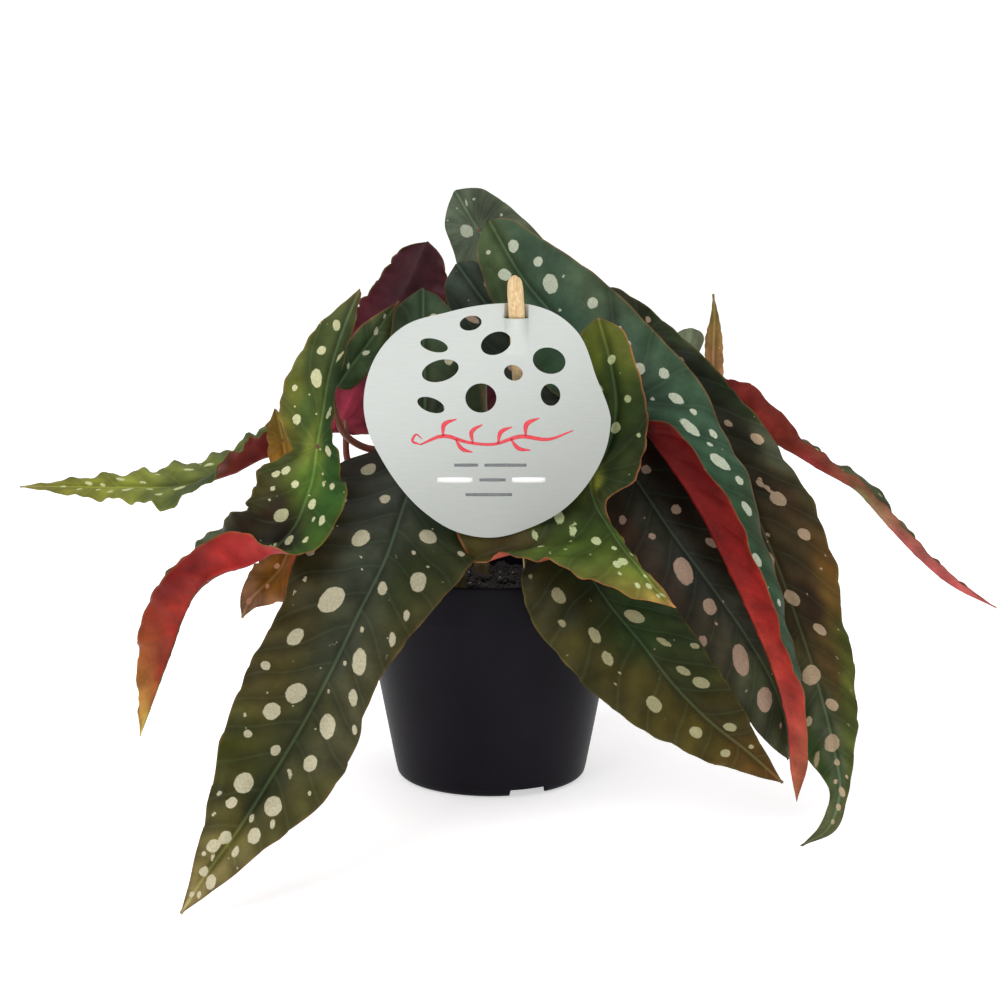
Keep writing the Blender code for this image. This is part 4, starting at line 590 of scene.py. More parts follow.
def leaf_surface(rows, stations, columns, belly):
    """Grid of points over a blade, from the ear's end to the tip and from the left margin to the right."""
    mid, left, right = (np.array([row[k % len(row)] for row in rows], float) for k in range(3))
    knots = chords(mid)
    reach = knots[-1]
    ease = np.linspace(0.0, 1.0, stations)
    at = reach * (ease + 0.045 * np.sin(tau * (0.5 - ease)) * -1.0)
    at[0], at[-1] = 0.0, reach
    spine = through(knots, mid, at)
    along = unit(np.gradient(spine, at, axis=0))
    side_a = through(knots, left - mid, at)
    side_b = through(knots, right - mid, at)
    cap = 0.8 * (np.linalg.norm(left[0] - mid[0]) + np.linalg.norm(right[0] - mid[0])) / 2 + 1.0
    rounding = (1.0 - (1.0 - np.clip(at / cap, 0.0, 1.0)) ** 2.4)[:, None] ** 0.45
    tail = unit((right - left)[-2:-1])
    side_a = side_a * rounding + 0.02 * -tail
    side_b = side_b * rounding + 0.02 * tail
    side_a = keep_width(side_a, LEAST_HALF_WIDTH)
    side_b = keep_width(side_b, LEAST_HALF_WIDTH)
    up_a = unit(np.cross(along, -side_a))
    up_b = unit(np.cross(along, side_b))
    grid = np.zeros((stations, 2 * columns + 1, 3))
    for j in range(-columns, columns + 1):
        t = abs(j) / columns
        side, up = (side_a, up_a) if j < 0 else (side_b, up_b)
        width = np.linalg.norm(side, axis=1, keepdims=True)
        grid[:, j + columns] = spine + t * side + belly * 4 * t * (1 - t) * width * up
    return grid


def grid_normals(grid):
    return unit(np.cross(np.gradient(grid, axis=0), np.gradient(grid, axis=1)))


def rear_rows(mids, left, right, sag):
    """Rows for a leaf that hangs away from the plant at the back, its upper face outwards."""
    mids = np.array(mids, float)
    along = unit(np.gradient(mids, axis=0))
    outward = np.array([0.15 * np.sign(mids[-1][0] - mids[0][0]), 1.0, 0.9])
    across = unit(np.cross(unit(outward), along))
    up = unit(np.cross(along, across))
    rows = []
    for k, mid in enumerate(mids):
        drop = -sag * up[k]
        halves = ((-1, left[k]), (1, right[k]))
        spread = [mid + side * width * across[k] + drop * width / 20 for side, width in halves]
        rows.append((mid, *spread))
    return rows


def closed_skin(rows, cols):
    """Faces of a closed skin over two stacked grids: the upper side, the under side, then the rim."""
    index = np.arange(rows * cols).reshape(rows, cols)
    a, b, c, d = index[:-1, :-1], index[:-1, 1:], index[1:, 1:], index[1:, :-1]
    upper = np.stack([a, b, c, d], -1).reshape(-1, 4)
    under = np.stack([d, c, b, a], -1).reshape(-1, 4) + rows * cols
    edge = np.concatenate([index[0], index[1:, -1], index[-1, -2::-1], index[-2:0:-1, 0]])
    after = np.roll(edge, -1)
    rim = np.stack([after, edge, edge + rows * cols, after + rows * cols], -1)
    return np.concatenate([upper, under, rim]), len(upper), len(under)


def finish_piece(name, verts, faces, materials, slots=None, smooth=True, numbers=(), colours=()):
    """Makes the mesh object: points in mm, faces, a material for each face, and values at each point."""
    mesh = bpy.data.meshes.new(name)
    places = [tuple(v) for v in np.asarray(verts, float) * MM]
    mesh.from_pydata(places, [], [tuple(map(int, f)) for f in faces])
    for mat in materials:
        mesh.materials.append(mat)
    if slots is not None:
        mesh.polygons.foreach_set("material_index", np.asarray(slots, dtype=np.int32))
    for key, values in dict(numbers).items():
        made = mesh.attributes.new(key, "FLOAT", "POINT")
        made.data.foreach_set("value", np.asarray(values, dtype=np.float32).ravel())
    for key, values in dict(colours).items():
        made = mesh.attributes.new(key, "FLOAT_COLOR", "POINT")
        made.data.foreach_set("color", np.asarray(values, dtype=np.float32).ravel())
    mesh.update()
    if smooth:
        mesh.shade_smooth()
    obj = bpy.data.objects.new(name, mesh)
    bpy.context.scene.collection.objects.link(obj)
    return obj


def outward(obj):
    """Merges doubles and turns every face outwards."""
    bm = bmesh.new()
    bm.from_mesh(obj.data)
    bmesh.ops.remove_doubles(bm, verts=bm.verts[:], dist=1e-7)
    bmesh.ops.recalc_face_normals(bm, faces=bm.faces[:])
    if bm.calc_volume(signed=True) < 0:
        bmesh.ops.reverse_faces(bm, faces=bm.faces[:])
    bm.to_mesh(obj.data)
    bm.free()
    return obj


def stands_for(obj, node):
    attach(obj, "root")
    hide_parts(node)


def painted(anchors, u, t):
    """Colours over a blade, flowing between the places that have a given colour."""
    total, weight = 0.0, 0.0
    for along, side, code in anchors:
        near = 1.0 / (((u - along) * 4.0) ** 2 + ((t - side) * 0.7) ** 2 + 0.004) ** 1.6
        total = total + near[..., None] * np.array(linear(code))
        weight = weight + near
    return total / weight[..., None]


def scatter_dots(rng, s, a, sizes):
    """Pale dots thrown over a blade, the large ones first, each one clear of the rest and of the midrib."""
    largest, smallest, tries = sizes
    half = np.stack([-a[:, 0], a[:, -1]], 1)
    length = s[-1, 0]
    placed = []
    for n in range(tries):
        size = smallest + (largest - smallest) * (1.0 - n / tries) ** 2.2
        for _ in range(40):
            at = rng.uniform(0.02, 0.97) * length
            side = rng.integers(0, 2)
            room = float(np.interp(at, s[:, 0], half[:, side]))
            radius = size * min(1.0, room / 16.0) * (1.0 if at < length * 0.75 else 0.75)
            far = rng.uniform(1.6 + radius, max(room - 1.2 - radius, 1.7 + radius))
            if far + radius > room - 0.8 or radius < 0.35:
                continue
            spot = (at, far if side else -far)
            clear = [np.hypot(spot[0] - p[0], spot[1] - p[1]) > radius * 1.25 + p[2] + 2.2 for p in placed]
            if all(clear):
                placed.append((*spot, radius * rng.uniform(1.05, 1.5), radius * rng.uniform(0.75, 0.95)))
                break
    return placed


def dot_field(dots, s, a, foot):
    """Distance to the nearest dot's rim in mm, negative inside it."""
    field = np.full(s.shape, CLEAR_OF_DOTS)
    for at, off, long, wide in dots:
        lean = radians(22) * np.sign(off) if at > foot else radians(160) * np.sign(off)
        x, y = s - at, a - off
        p = (x * cos(lean) + y * sin(lean)) / long
        q = (-x * sin(lean) + y * cos(lean)) / wide
        field = np.minimum(field, (np.sqrt(p * p + q * q) - 1.0) * min(long, wide))
    return field


def build_blade(name, rows, foot_row, number):
    """One blade: its surface, quilted between the veins, ruffled and toothed at the margin, with the values
    that its materials read: wash, dots, dot_wash, vein, pitch and rib."""
    look = FINISH[name]
    rng = np.random.default_rng(100 + number)
    mid, left, right = (np.array([row[k % len(row)] for row in rows], float) for k in range(3))
    length = chords(mid)[-1]
    widest = max(np.linalg.norm(left - mid, axis=1).max(), np.linalg.norm(right - mid, axis=1).max())
    stations, columns = int(length / GRAIN) + 8, max(7, int(widest / GRAIN))
    grid = leaf_surface(rows, stations, columns, FLATTER.get(name, BELLY))
    spine = grid[:, columns:columns + 1]
    s = np.repeat(chords(spine[:, 0])[:, None], 2 * columns + 1, 1)
    t = np.repeat(np.linspace(-1, 1, 2 * columns + 1)[None], stations, 0)
    a = np.sign(t) * np.linalg.norm(grid - spine, axis=2)
    half = np.where(t < 0, -a[:, :1], a[:, -1:])
    u = s / s[-1, 0]
    edge = half - np.abs(a)
    foot = chords(mid)[foot_row]
    # Side veins: parallel along the blade, and fanned out round the petiole's end in the ear.
    lead = s - foot - np.abs(a) * VEIN_SLANT
    angle = np.arctan2(np.abs(a), s - foot) - np.arctan2(1.0, VEIN_SLANT)
    wiggle = 0.10 * np.sin(s * 0.09 + number) + 0.05 * np.sin(np.abs(a) * 0.31 + 2 * number)
    offset = np.where(t < 0, 0.0, 0.45)
    vein = np.where(lead > 0, lead / VEIN_STEP, -angle / EAR_VEIN_STEP) + wiggle + offset
    pitch = np.where(lead > 0, VEIN_STEP * 0.76, np.maximum(np.hypot(a, s - foot) * EAR_VEIN_STEP, 1.0))
    from_vein = np.abs((vein + 0.5) % 1.0 - 0.5) * pitch
    # Shape in mm: puffed between the veins, waved at the margin, grooved over the midrib.
    normal = grid_normals(grid)
    outwards = unit(grid - spine)
    thin = np.clip(half / 14.0, 0.0, 1.0)
    puff = PUFF_HEIGHT * (1.0 - np.exp(-(from_vein / PUFF_WIDTH) ** 2))
    puff = puff * np.clip(np.abs(a) / 5, 0, 1) * np.clip(edge / 5, 0, 1)
    wave_height, wave_length = look["ruffle"]
    phase = np.where(t < 0, 0.0, 2.1) + number
    wave = np.sin(tau * s / wave_length + phase)
    wave = wave + 0.45 * np.sin(tau * s / (wave_length * 0.43) + 1.7 * phase)
    wave = wave_height * thin * np.abs(t) ** 3.2 * wave
    tooth_height, tooth_length = look["teeth"]
    tooth = np.abs((s / tooth_length + 0.18 * np.sin(s * 0.21 + phase) + phase) % 1.0 - 0.35)
    tooth = -tooth_height * thin * tooth * 2.2 * np.abs(t) ** 6
    groove = GROOVE_DEPTH * np.exp(-(a / GROOVE_WIDTH) ** 2) * np.clip(half / 8, 0, 1)
    grid = grid + normal * (puff * thin + wave)[..., None] + outwards * tooth[..., None]
    normal = grid_normals(grid)
    skin = BLADE_SKIN * (0.45 + 0.55 * np.clip(edge / 4.0, 0.0, 1.0)) / 2
    rib = RIB_HEIGHT * np.exp(-(a / RIB_WIDTH) ** 2) * np.clip(1.15 - u, 0, 1) * np.clip(half / 8, 0.15, 1)
    side_rib = SIDE_RIB_HEIGHT * np.exp(-(from_vein / SIDE_RIB_WIDTH) ** 2) * thin
    rib = np.where(u * s[-1, 0] > foot, rib, rib * 0.4) + side_rib
    upper = grid + normal * (skin - groove)[..., None]
    under = grid - normal * (skin + rib)[..., None]
    faces, n_upper, n_under = closed_skin(*s.shape)
    slots = [0] * n_upper + [1] * n_under + [0] * (len(faces) - n_upper - n_under)
    # Colours at the points.
    hem = np.clip(1.0 - edge / 1.0, 0.0, 1.0)[..., None] * 0.7
    over = painted(look["up"], u, t) * (1 - hem) + np.array(linear(look["hem"])) * hem
    below = painted(look["under"], u, t)
    below = below * (1 - 0.4 * hem) + np.array(linear(look["hem"])) * hem * 0.4
    if name in DOTS:
        dots = [(at * s[-1, 0], side * float(np.interp(at, u[:, 0], half[:, -1 if side > 0 else 0])), l, w)
                for at, side, l, w in DOTS[name]]
    else:
        dots = scatter_dots(rng, s, a, look["dot_sizes"])
    field = dot_field(dots, s, a, foot)
    # A dot is a thin clear patch of skin: darker where the tissue around it is dark.
    lit = np.clip(0.5 + 8.0 * over[..., :3].mean(axis=2, keepdims=True), 0.5, 1.0)
    dot_wash = 0.88 * np.array(linear(look["dots"])) * lit + 0.12 * over
    both = {"wash": np.concatenate([over.reshape(-1, 4), below.reshape(-1, 4)]),
            "dot_wash": np.concatenate([dot_wash.reshape(-1, 4)] * 2)}
    numbers = {"dots": np.concatenate([field.ravel(), np.full(field.size, CLEAR_OF_DOTS)]),
               "vein": np.tile(vein.ravel(), 2), "pitch": np.tile(pitch.ravel(), 2),
               "rib": np.tile(np.abs(a).ravel(), 2)}
    verts = np.concatenate([upper.reshape(-1, 3), under.reshape(-1, 3)])
    return finish_piece(name + "_skin", verts, faces, (LEAF_UPPER, LEAF_UNDER), slots, True, numbers, both)


def vein_distance(tree):
    """Distance from the nearest side vein in mm, from the values that each blade carries."""
    vein = add(tree, "ShaderNodeAttribute", attribute_name="vein").outputs["Fac"]
    pitch = add(tree, "ShaderNodeAttribute", attribute_name="pitch").outputs["Fac"]
    swing = add(tree, "ShaderNodeMath", {0: vein, 1: 0.5}, operation="ADD").outputs[0]
    swing = add(tree, "ShaderNodeMath", {0: swing}, operation="FRACT").outputs[0]
    swing = add(tree, "ShaderNodeMath", {0: swing, 1: 0.5}, operation="SUBTRACT").outputs[0]
    swing = add(tree, "ShaderNodeMath", {0: swing}, operation="ABSOLUTE").outputs[0]
    return add(tree, "ShaderNodeMath", {0: swing, 1: pitch}, operation="MULTIPLY").outputs[0]


def leaf_upper():
    """Living begonia blade, upper side: a waxy cuticle over green tissue. Gives soft broad gloss, a
    darker net along the veins that is painted shade in their creases, pale dots with uneven rims, and
    fine pale flecks."""
    mat, tree, shader = start_material("begonia_blade_upper_waxy_cuticle")
    wash = add(tree, "ShaderNodeAttribute", attribute_name="wash").outputs["Color"]
    dot_wash = add(tree, "ShaderNodeAttribute", attribute_name="dot_wash").outputs["Color"]
    dots = add(tree, "ShaderNodeAttribute", attribute_name="dots").outputs["Fac"]
    rib = add(tree, "ShaderNodeAttribute", attribute_name="rib").outputs["Fac"]
    where = add(tree, "ShaderNodeTexCoord").outputs["Object"]
    # Clouds of deeper pigment 30 mm across, mottling of 9 mm, and a grain of 0.8 mm, which is drawn coarser
    # than real cells so that it shows.
    cloud = add(tree, "ShaderNodeTexNoise", {"Vector": where, "Scale": 34.0, "Detail": 3.0,
                                             "Roughness": 0.6}).outputs["Fac"]
    cloud = add(tree, "ShaderNodeMapRange", {0: cloud, 1: 0.35, 2: 0.65, 3: 0.72, 4: 1.24}).outputs[0]
    mottle = add(tree, "ShaderNodeTexNoise", {"Vector": where, "Scale": 110.0, "Detail": 3.0,
                                              "Roughness": 0.55}).outputs["Fac"]
    grain = add(tree, "ShaderNodeTexNoise", {"Vector": where, "Scale": 1250.0, "Detail": 2.0}).outputs["Fac"]
    tone = add(tree, "ShaderNodeMapRange", {0: mottle, 1: 0.3, 2: 0.7, 3: 0.8, 4: 1.2}).outputs[0]
    tone = add(tree, "ShaderNodeMath", {0: tone, 1: cloud}, operation="MULTIPLY").outputs[0]
    fine = add(tree, "ShaderNodeMapRange", {0: grain, 1: 0.2, 2: 0.8, 3: 0.9, 4: 1.1}).outputs[0]
    tone = add(tree, "ShaderNodeMath", {0: tone, 1: fine}, operation="MULTIPLY").outputs[0]
    tissue = add(tree, "ShaderNodeVectorMath", {0: wash, 3: tone}, operation="SCALE").outputs[0]
    # Side veins, 0.8 mm wide lines with a darker band on both sides, which is painted shade in the crease
    # where the quilted blade dips at each vein.
    from_vein = vein_distance(tree)
    line = add(tree, "ShaderNodeMapRange", {0: from_vein, 1: 0.15, 2: 0.8, 3: 0.2, 4: 0.0},
               interpolation_type="SMOOTHSTEP").outputs[0]
    vein_crease_shade = add(tree, "ShaderNodeMapRange", {0: from_vein, 1: 0.4, 2: 5.5, 3: 0.36, 4: 0.0},
                 interpolation_type="SMOOTHSTEP").outputs[0]
    main = add(tree, "ShaderNodeMapRange", {0: rib, 1: 0.2, 2: 0.85, 3: 0.75, 4: 0.0},
               interpolation_type="SMOOTHSTEP").outputs[0]
    # Painted shade in the crease beside the midrib's groove.
    midrib_crease_shade = add(tree, "ShaderNodeMapRange", {0: rib, 1: 0.8, 2: 4.5, 3: 0.42, 4: 0.0},
                 interpolation_type="SMOOTHSTEP").outputs[0]
    dark = add(tree, "ShaderNodeMath", {0: vein_crease_shade, 1: midrib_crease_shade}, operation="MAXIMUM").outputs[0]
    shaded = add(tree, "ShaderNodeMix", {0: dark, 6: tissue, 7: linear("#10130b")},
                 data_type="RGBA").outputs[2]
    pale = add(tree, "ShaderNodeVectorMath", {0: tissue, 3: 1.5}, operation="SCALE").outputs[0]
    pale = add(tree, "ShaderNodeMix", {0: 0.3, 6: pale, 7: linear("#4c6a4e")}, data_type="RGBA").outputs[2]
    lined = add(tree, "ShaderNodeMix", {0: line, 6: shaded, 7: pale}, data_type="RGBA").outputs[2]
    ribbed = add(tree, "ShaderNodeMix", {0: main, 6: lined, 7: pale}, data_type="RGBA").outputs[2]
    # Flecks: 0.5 mm pale specks about 6 mm apart, in loose drifts.
    cells = add(tree, "ShaderNodeTexVoronoi", {"Vector": where, "Scale": 165.0, "Randomness": 1.0})
    speck = add(tree, "ShaderNodeMapRange", {0: cells.outputs["Distance"], 1: 0.05, 2: 0.085, 3: 1.0, 4: 0.0}
                ).outputs[0]
    drift = add(tree, "ShaderNodeTexNoise", {"Vector": where, "Scale": 34.0, "Detail": 1.0}).outputs["Fac"]
    drift = add(tree, "ShaderNodeMapRange", {0: drift, 1: 0.48, 2: 0.56, 3: 0.0, 4: 0.85}).outputs[0]
    speck = add(tree, "ShaderNodeMath", {0: speck, 1: drift}, operation="MULTIPLY").outputs[0]
    flecked = add(tree, "ShaderNodeMix", {0: speck, 6: ribbed, 7: dot_wash}, data_type="RGBA").outputs[2]
    # Pale dots: their rims wander by a fraction of a millimetre, and their middles are a little lighter.
    wander = add(tree, "ShaderNodeTexNoise", {"Vector": where, "Scale": 420.0, "Detail": 2.0}).outputs["Fac"]
    wander = add(tree, "ShaderNodeMapRange", {0: wander, 1: 0.25, 2: 0.75, 3: -0.24, 4: 0.24}).outputs[0]
    rim = add(tree, "ShaderNodeMath", {0: dots, 1: wander}, operation="ADD").outputs[0]
    inside = add(tree, "ShaderNodeMapRange", {0: rim, 1: -0.18, 2: 0.18, 3: 1.0, 4: 0.0},
                 interpolation_type="SMOOTHSTEP").outputs[0]
    net = add(tree, "ShaderNodeMapRange", {0: grain, 1: 0.35, 2: 0.65, 3: 0.84, 4: 1.06}).outputs[0]
    chalk = add(tree, "ShaderNodeVectorMath", {0: dot_wash, 3: net}, operation="SCALE").outputs[0]
    dotted = add(tree, "ShaderNodeMix", {0: inside, 6: flecked, 7: chalk}, data_type="RGBA").outputs[2]
    plug(tree, shader.inputs["Base Color"], dotted)
    gloss = add(tree, "ShaderNodeMapRange", {0: mottle, 1: 0.25, 2: 0.75, 3: 0.32, 4: 0.48}).outputs[0]
    gloss = add(tree, "ShaderNodeMath", {0: inside, 1: 0.1, 2: gloss}, operation="MULTIPLY_ADD").outputs[0]
    plug(tree, shader.inputs["Roughness"], gloss)
    height = add(tree, "ShaderNodeMath", {0: grain, 1: 0.25, 2: mottle}, operation="MULTIPLY_ADD").outputs[0]
    height = add(tree, "ShaderNodeMath", {0: line, 1: -0.8, 2: height}, operation="MULTIPLY_ADD").outputs[0]
    height = add(tree, "ShaderNodeMath", {0: inside, 1: 0.25, 2: height}, operation="MULTIPLY_ADD").outputs[0]
    bump = add(tree, "ShaderNodeBump", {"Strength": 0.35, "Distance": 0.0006, "Height": height})
    plug(tree, shader.inputs["Normal"], bump.outputs[0])
    shader.inputs["IOR"].default_value = 1.17
    return mat


def leaf_under():
    """Living begonia blade, lower side: red-pigmented tissue with raised veins. Gives a deep satin red that
    turns lighter along the veins."""
    mat, tree, shader = start_material("begonia_blade_under_red_tissue")
    wash = add(tree, "ShaderNodeAttribute", attribute_name="wash").outputs["Color"]
    rib = add(tree, "ShaderNodeAttribute", attribute_name="rib").outputs["Fac"]
    where = add(tree, "ShaderNodeTexCoord").outputs["Object"]
    mottle = add(tree, "ShaderNodeTexNoise", {"Vector": where, "Scale": 95.0, "Detail": 4.0}).outputs["Fac"]
    grain = add(tree, "ShaderNodeTexNoise", {"Vector": where, "Scale": 1100.0, "Detail": 2.0}).outputs["Fac"]
    tone = add(tree, "ShaderNodeMapRange", {0: mottle, 1: 0.3, 2: 0.7, 3: 0.62, 4: 1.3}).outputs[0]
    fine = add(tree, "ShaderNodeMapRange", {0: grain, 1: 0.2, 2: 0.8, 3: 0.9, 4: 1.1}).outputs[0]
    tone = add(tree, "ShaderNodeMath", {0: tone, 1: fine}, operation="MULTIPLY").outputs[0]
    tissue = add(tree, "ShaderNodeVectorMath", {0: wash, 3: tone}, operation="SCALE").outputs[0]
    from_vein = vein_distance(tree)
    line = add(tree, "ShaderNodeMapRange", {0: from_vein, 1: 0.2, 2: 1.3, 3: 0.22, 4: 0.0},
               interpolation_type="SMOOTHSTEP").outputs[0]
    main = add(tree, "ShaderNodeMapRange", {0: rib, 1: 0.8, 2: 1.9, 3: 0.3, 4: 0.0},
               interpolation_type="SMOOTHSTEP").outputs[0]
    raised = add(tree, "ShaderNodeMath", {0: line, 1: main}, operation="MAXIMUM").outputs[0]
    warm = add(tree, "ShaderNodeVectorMath", {0: tissue, 3: 1.45}, operation="SCALE").outputs[0]
    veined = add(tree, "ShaderNodeMix", {0: raised, 6: tissue, 7: warm}, data_type="RGBA").outputs[2]
    plug(tree, shader.inputs["Base Color"], veined)
    gloss = add(tree, "ShaderNodeMapRange", {0: mottle, 1: 0.25, 2: 0.75, 3: 0.38, 4: 0.52}).outputs[0]
    plug(tree, shader.inputs["Roughness"], gloss)
    height = add(tree, "ShaderNodeMath", {0: raised, 1: 1.4, 2: mottle}, operation="MULTIPLY_ADD").outputs[0]
    height = add(tree, "ShaderNodeMath", {0: grain, 1: 0.3, 2: height}, operation="MULTIPLY_ADD").outputs[0]
    bump = add(tree, "ShaderNodeBump", {"Strength": 0.4, "Distance": 0.0006, "Height": height})
    plug(tree, shader.inputs["Normal"], bump.outputs[0])
    shader.inputs["IOR"].default_value = 1.2
    return mat


def stalk_skin(name, code, streak_code, fleck_code):
    """Fleshy begonia stalk: smooth living skin. Gives a low sheen, streaks that run lengthwise and small pale
    breathing pores."""
    mat, tree, shader = start_material(name)
    where = add(tree, "ShaderNodeTexCoord").outputs["Object"]
    long = add(tree, "ShaderNodeMapping", {"Vector": where, "Scale": (520.0, 520.0, 60.0)}).outputs[0]
    streak = add(tree, "ShaderNodeTexNoise", {"Vector": long, "Scale": 1.0, "Detail": 3.0}).outputs["Fac"]
    streak = add(tree, "ShaderNodeMapRange", {0: streak, 1: 0.35, 2: 0.68, 3: 0.0, 4: 0.9}).outputs[0]
    skin = add(tree, "ShaderNodeMix", {0: streak, 6: linear(code), 7: linear(streak_code)},
               data_type="RGBA").outputs[2]
    # Pores 0.5 mm across and 3 mm apart.
    pores = add(tree, "ShaderNodeTexVoronoi", {"Vector": where, "Scale": 330.0}).outputs["Distance"]
    pores = add(tree, "ShaderNodeMapRange", {0: pores, 1: 0.08, 2: 0.13, 3: 0.8, 4: 0.0}).outputs[0]
    skin = add(tree, "ShaderNodeMix", {0: pores, 6: skin, 7: linear(fleck_code)}, data_type="RGBA").outputs[2]
    plug(tree, shader.inputs["Base Color"], skin)
    gloss = add(tree, "ShaderNodeMapRange", {0: streak, 1: 0.0, 2: 1.0, 3: 0.4, 4: 0.54}).outputs[0]
    plug(tree, shader.inputs["Roughness"], gloss)
    bump = add(tree, "ShaderNodeBump", {"Strength": 0.4, "Distance": 0.0003, "Height": streak})
    plug(tree, shader.inputs["Normal"], bump.outputs[0])
    return mat


def pot_plastic():
    """Injection-moulded polypropylene, near black with a purple cast. Gives a soft satin sheen over a fine
    moulded grain, with pale scuffs near the foot."""
    mat, tree, shader = start_material("pot_polypropylene_injection_moulded")
    where = add(tree, "ShaderNodeTexCoord").outputs["Object"]
    # Mould grain: 0.5 mm, drawn twice as coarse as it is so that it shows.
    grain = add(tree, "ShaderNodeTexNoise", {"Vector": where, "Scale": 1900.0, "Detail": 2.0}).outputs["Fac"]
    cloud = add(tree, "ShaderNodeTexNoise", {"Vector": where, "Scale": 28.0, "Detail": 3.0}).outputs["Fac"]
    shade = add(tree, "ShaderNodeMapRange", {0: cloud, 1: 0.3, 2: 0.7, 3: 0.0, 4: 1.0}).outputs[0]
    body = add(tree, "ShaderNodeMix", {0: shade, 6: linear("#100e14"), 7: linear("#17141c")},
               data_type="RGBA").outputs[2]
    # Scuffs: thin pale rubs along the turning direction in the lowest 12 mm.
    rubs = add(tree, "ShaderNodeMapping", {"Vector": where, "Scale": (60.0, 60.0, 1400.0)}).outputs[0]
    rubs = add(tree, "ShaderNodeTexNoise", {"Vector": rubs, "Scale": 1.0, "Detail": 4.0}).outputs["Fac"]
    rubs = add(tree, "ShaderNodeMapRange", {0: rubs, 1: 0.6, 2: 0.72, 3: 0.0, 4: 0.35}).outputs[0]
    height = add(tree, "ShaderNodeSeparateXYZ", {0: where}).outputs[2]
    low = add(tree, "ShaderNodeMapRange", {0: height, 1: 0.003, 2: 0.014, 3: 1.0, 4: 0.02}).outputs[0]
    rubs = add(tree, "ShaderNodeMath", {0: rubs, 1: low}, operation="MULTIPLY").outputs[0]
    body = add(tree, "ShaderNodeMix", {0: rubs, 6: body, 7: linear("#2c2932")}, data_type="RGBA").outputs[2]
    plug(tree, shader.inputs["Base Color"], body)
    gloss = add(tree, "ShaderNodeMapRange", {0: grain, 1: 0.3, 2: 0.7, 3: 0.4, 4: 0.5}).outputs[0]
    gloss = add(tree, "ShaderNodeMath", {0: rubs, 1: 0.25, 2: gloss}, operation="MULTIPLY_ADD").outputs[0]
    plug(tree, shader.inputs["Roughness"], gloss)
    bump = add(tree, "ShaderNodeBump", {"Strength": 0.25, "Distance": 0.0002, "Height": grain})
    plug(tree, shader.inputs["Normal"], bump.outputs[0])
    shader.inputs["IOR"].default_value = 1.17
    return mat


def potting_soil():
    """Damp peat potting soil. Gives a dark matte crumb with small glints and lighter fibres."""
    mat, tree, shader = start_material("potting_soil_damp_peat")
    where = add(tree, "ShaderNodeTexCoord").outputs["Object"]
    clump = add(tree, "ShaderNodeTexNoise", {"Vector": where, "Scale": 260.0, "Detail": 5.0,
                                             "Roughness": 0.7}).outputs["Fac"]
    shade = add(tree, "ShaderNodeMapRange", {0: clump, 1: 0.35, 2: 0.7, 3: 0.0, 4: 1.0}).outputs[0]
    earth = add(tree, "ShaderNodeMix", {0: shade, 6: linear("#120e10"), 7: linear("#2c2220")},
                data_type="RGBA").outputs[2]
    fibre = add(tree, "ShaderNodeTexNoise", {"Vector": where, "Scale": 900.0, "Detail": 2.0}).outputs["Fac"]
    fibre = add(tree, "ShaderNodeMapRange", {0: fibre, 1: 0.66, 2: 0.72, 3: 0.0, 4: 0.7}).outputs[0]
    earth = add(tree, "ShaderNodeMix", {0: fibre, 6: earth, 7: linear("#5a4838")},
                data_type="RGBA").outputs[2]
    plug(tree, shader.inputs["Base Color"], earth)
    gloss = add(tree, "ShaderNodeMapRange", {0: clump, 1: 0.3, 2: 0.7, 3: 0.55, 4: 0.95}).outputs[0]
    plug(tree, shader.inputs["Roughness"], gloss)
    bump = add(tree, "ShaderNodeBump", {"Strength": 0.8, "Distance": 0.001, "Height": clump})
    plug(tree, shader.inputs["Normal"], bump.outputs[0])
    return mat


def perlite():
    """Expanded perlite grit. Gives chalky off-white grains with tiny pits."""
    mat, tree, shader = start_material("perlite_expanded_grit")
    where = add(tree, "ShaderNodeTexCoord").outputs["Object"]
    pits = add(tree, "ShaderNodeTexVoronoi", {"Vector": where, "Scale": 1500.0}).outputs["Distance"]
    shade = add(tree, "ShaderNodeMapRange", {0: pits, 1: 0.1, 2: 0.6, 3: 0.0, 4: 1.0}).outputs[0]
    grit = add(tree, "ShaderNodeMix", {0: shade, 6: linear("#6a6258"), 7: linear("#a59c8e")},
               data_type="RGBA").outputs[2]
    plug(tree, shader.inputs["Base Color"], grit)
    bump = add(tree, "ShaderNodeBump", {"Strength": 0.6, "Distance": 0.0003, "Height": pits})
    plug(tree, shader.inputs["Normal"], bump.outputs[0])
    shader.inputs["Roughness"].default_value = 0.85
    return mat


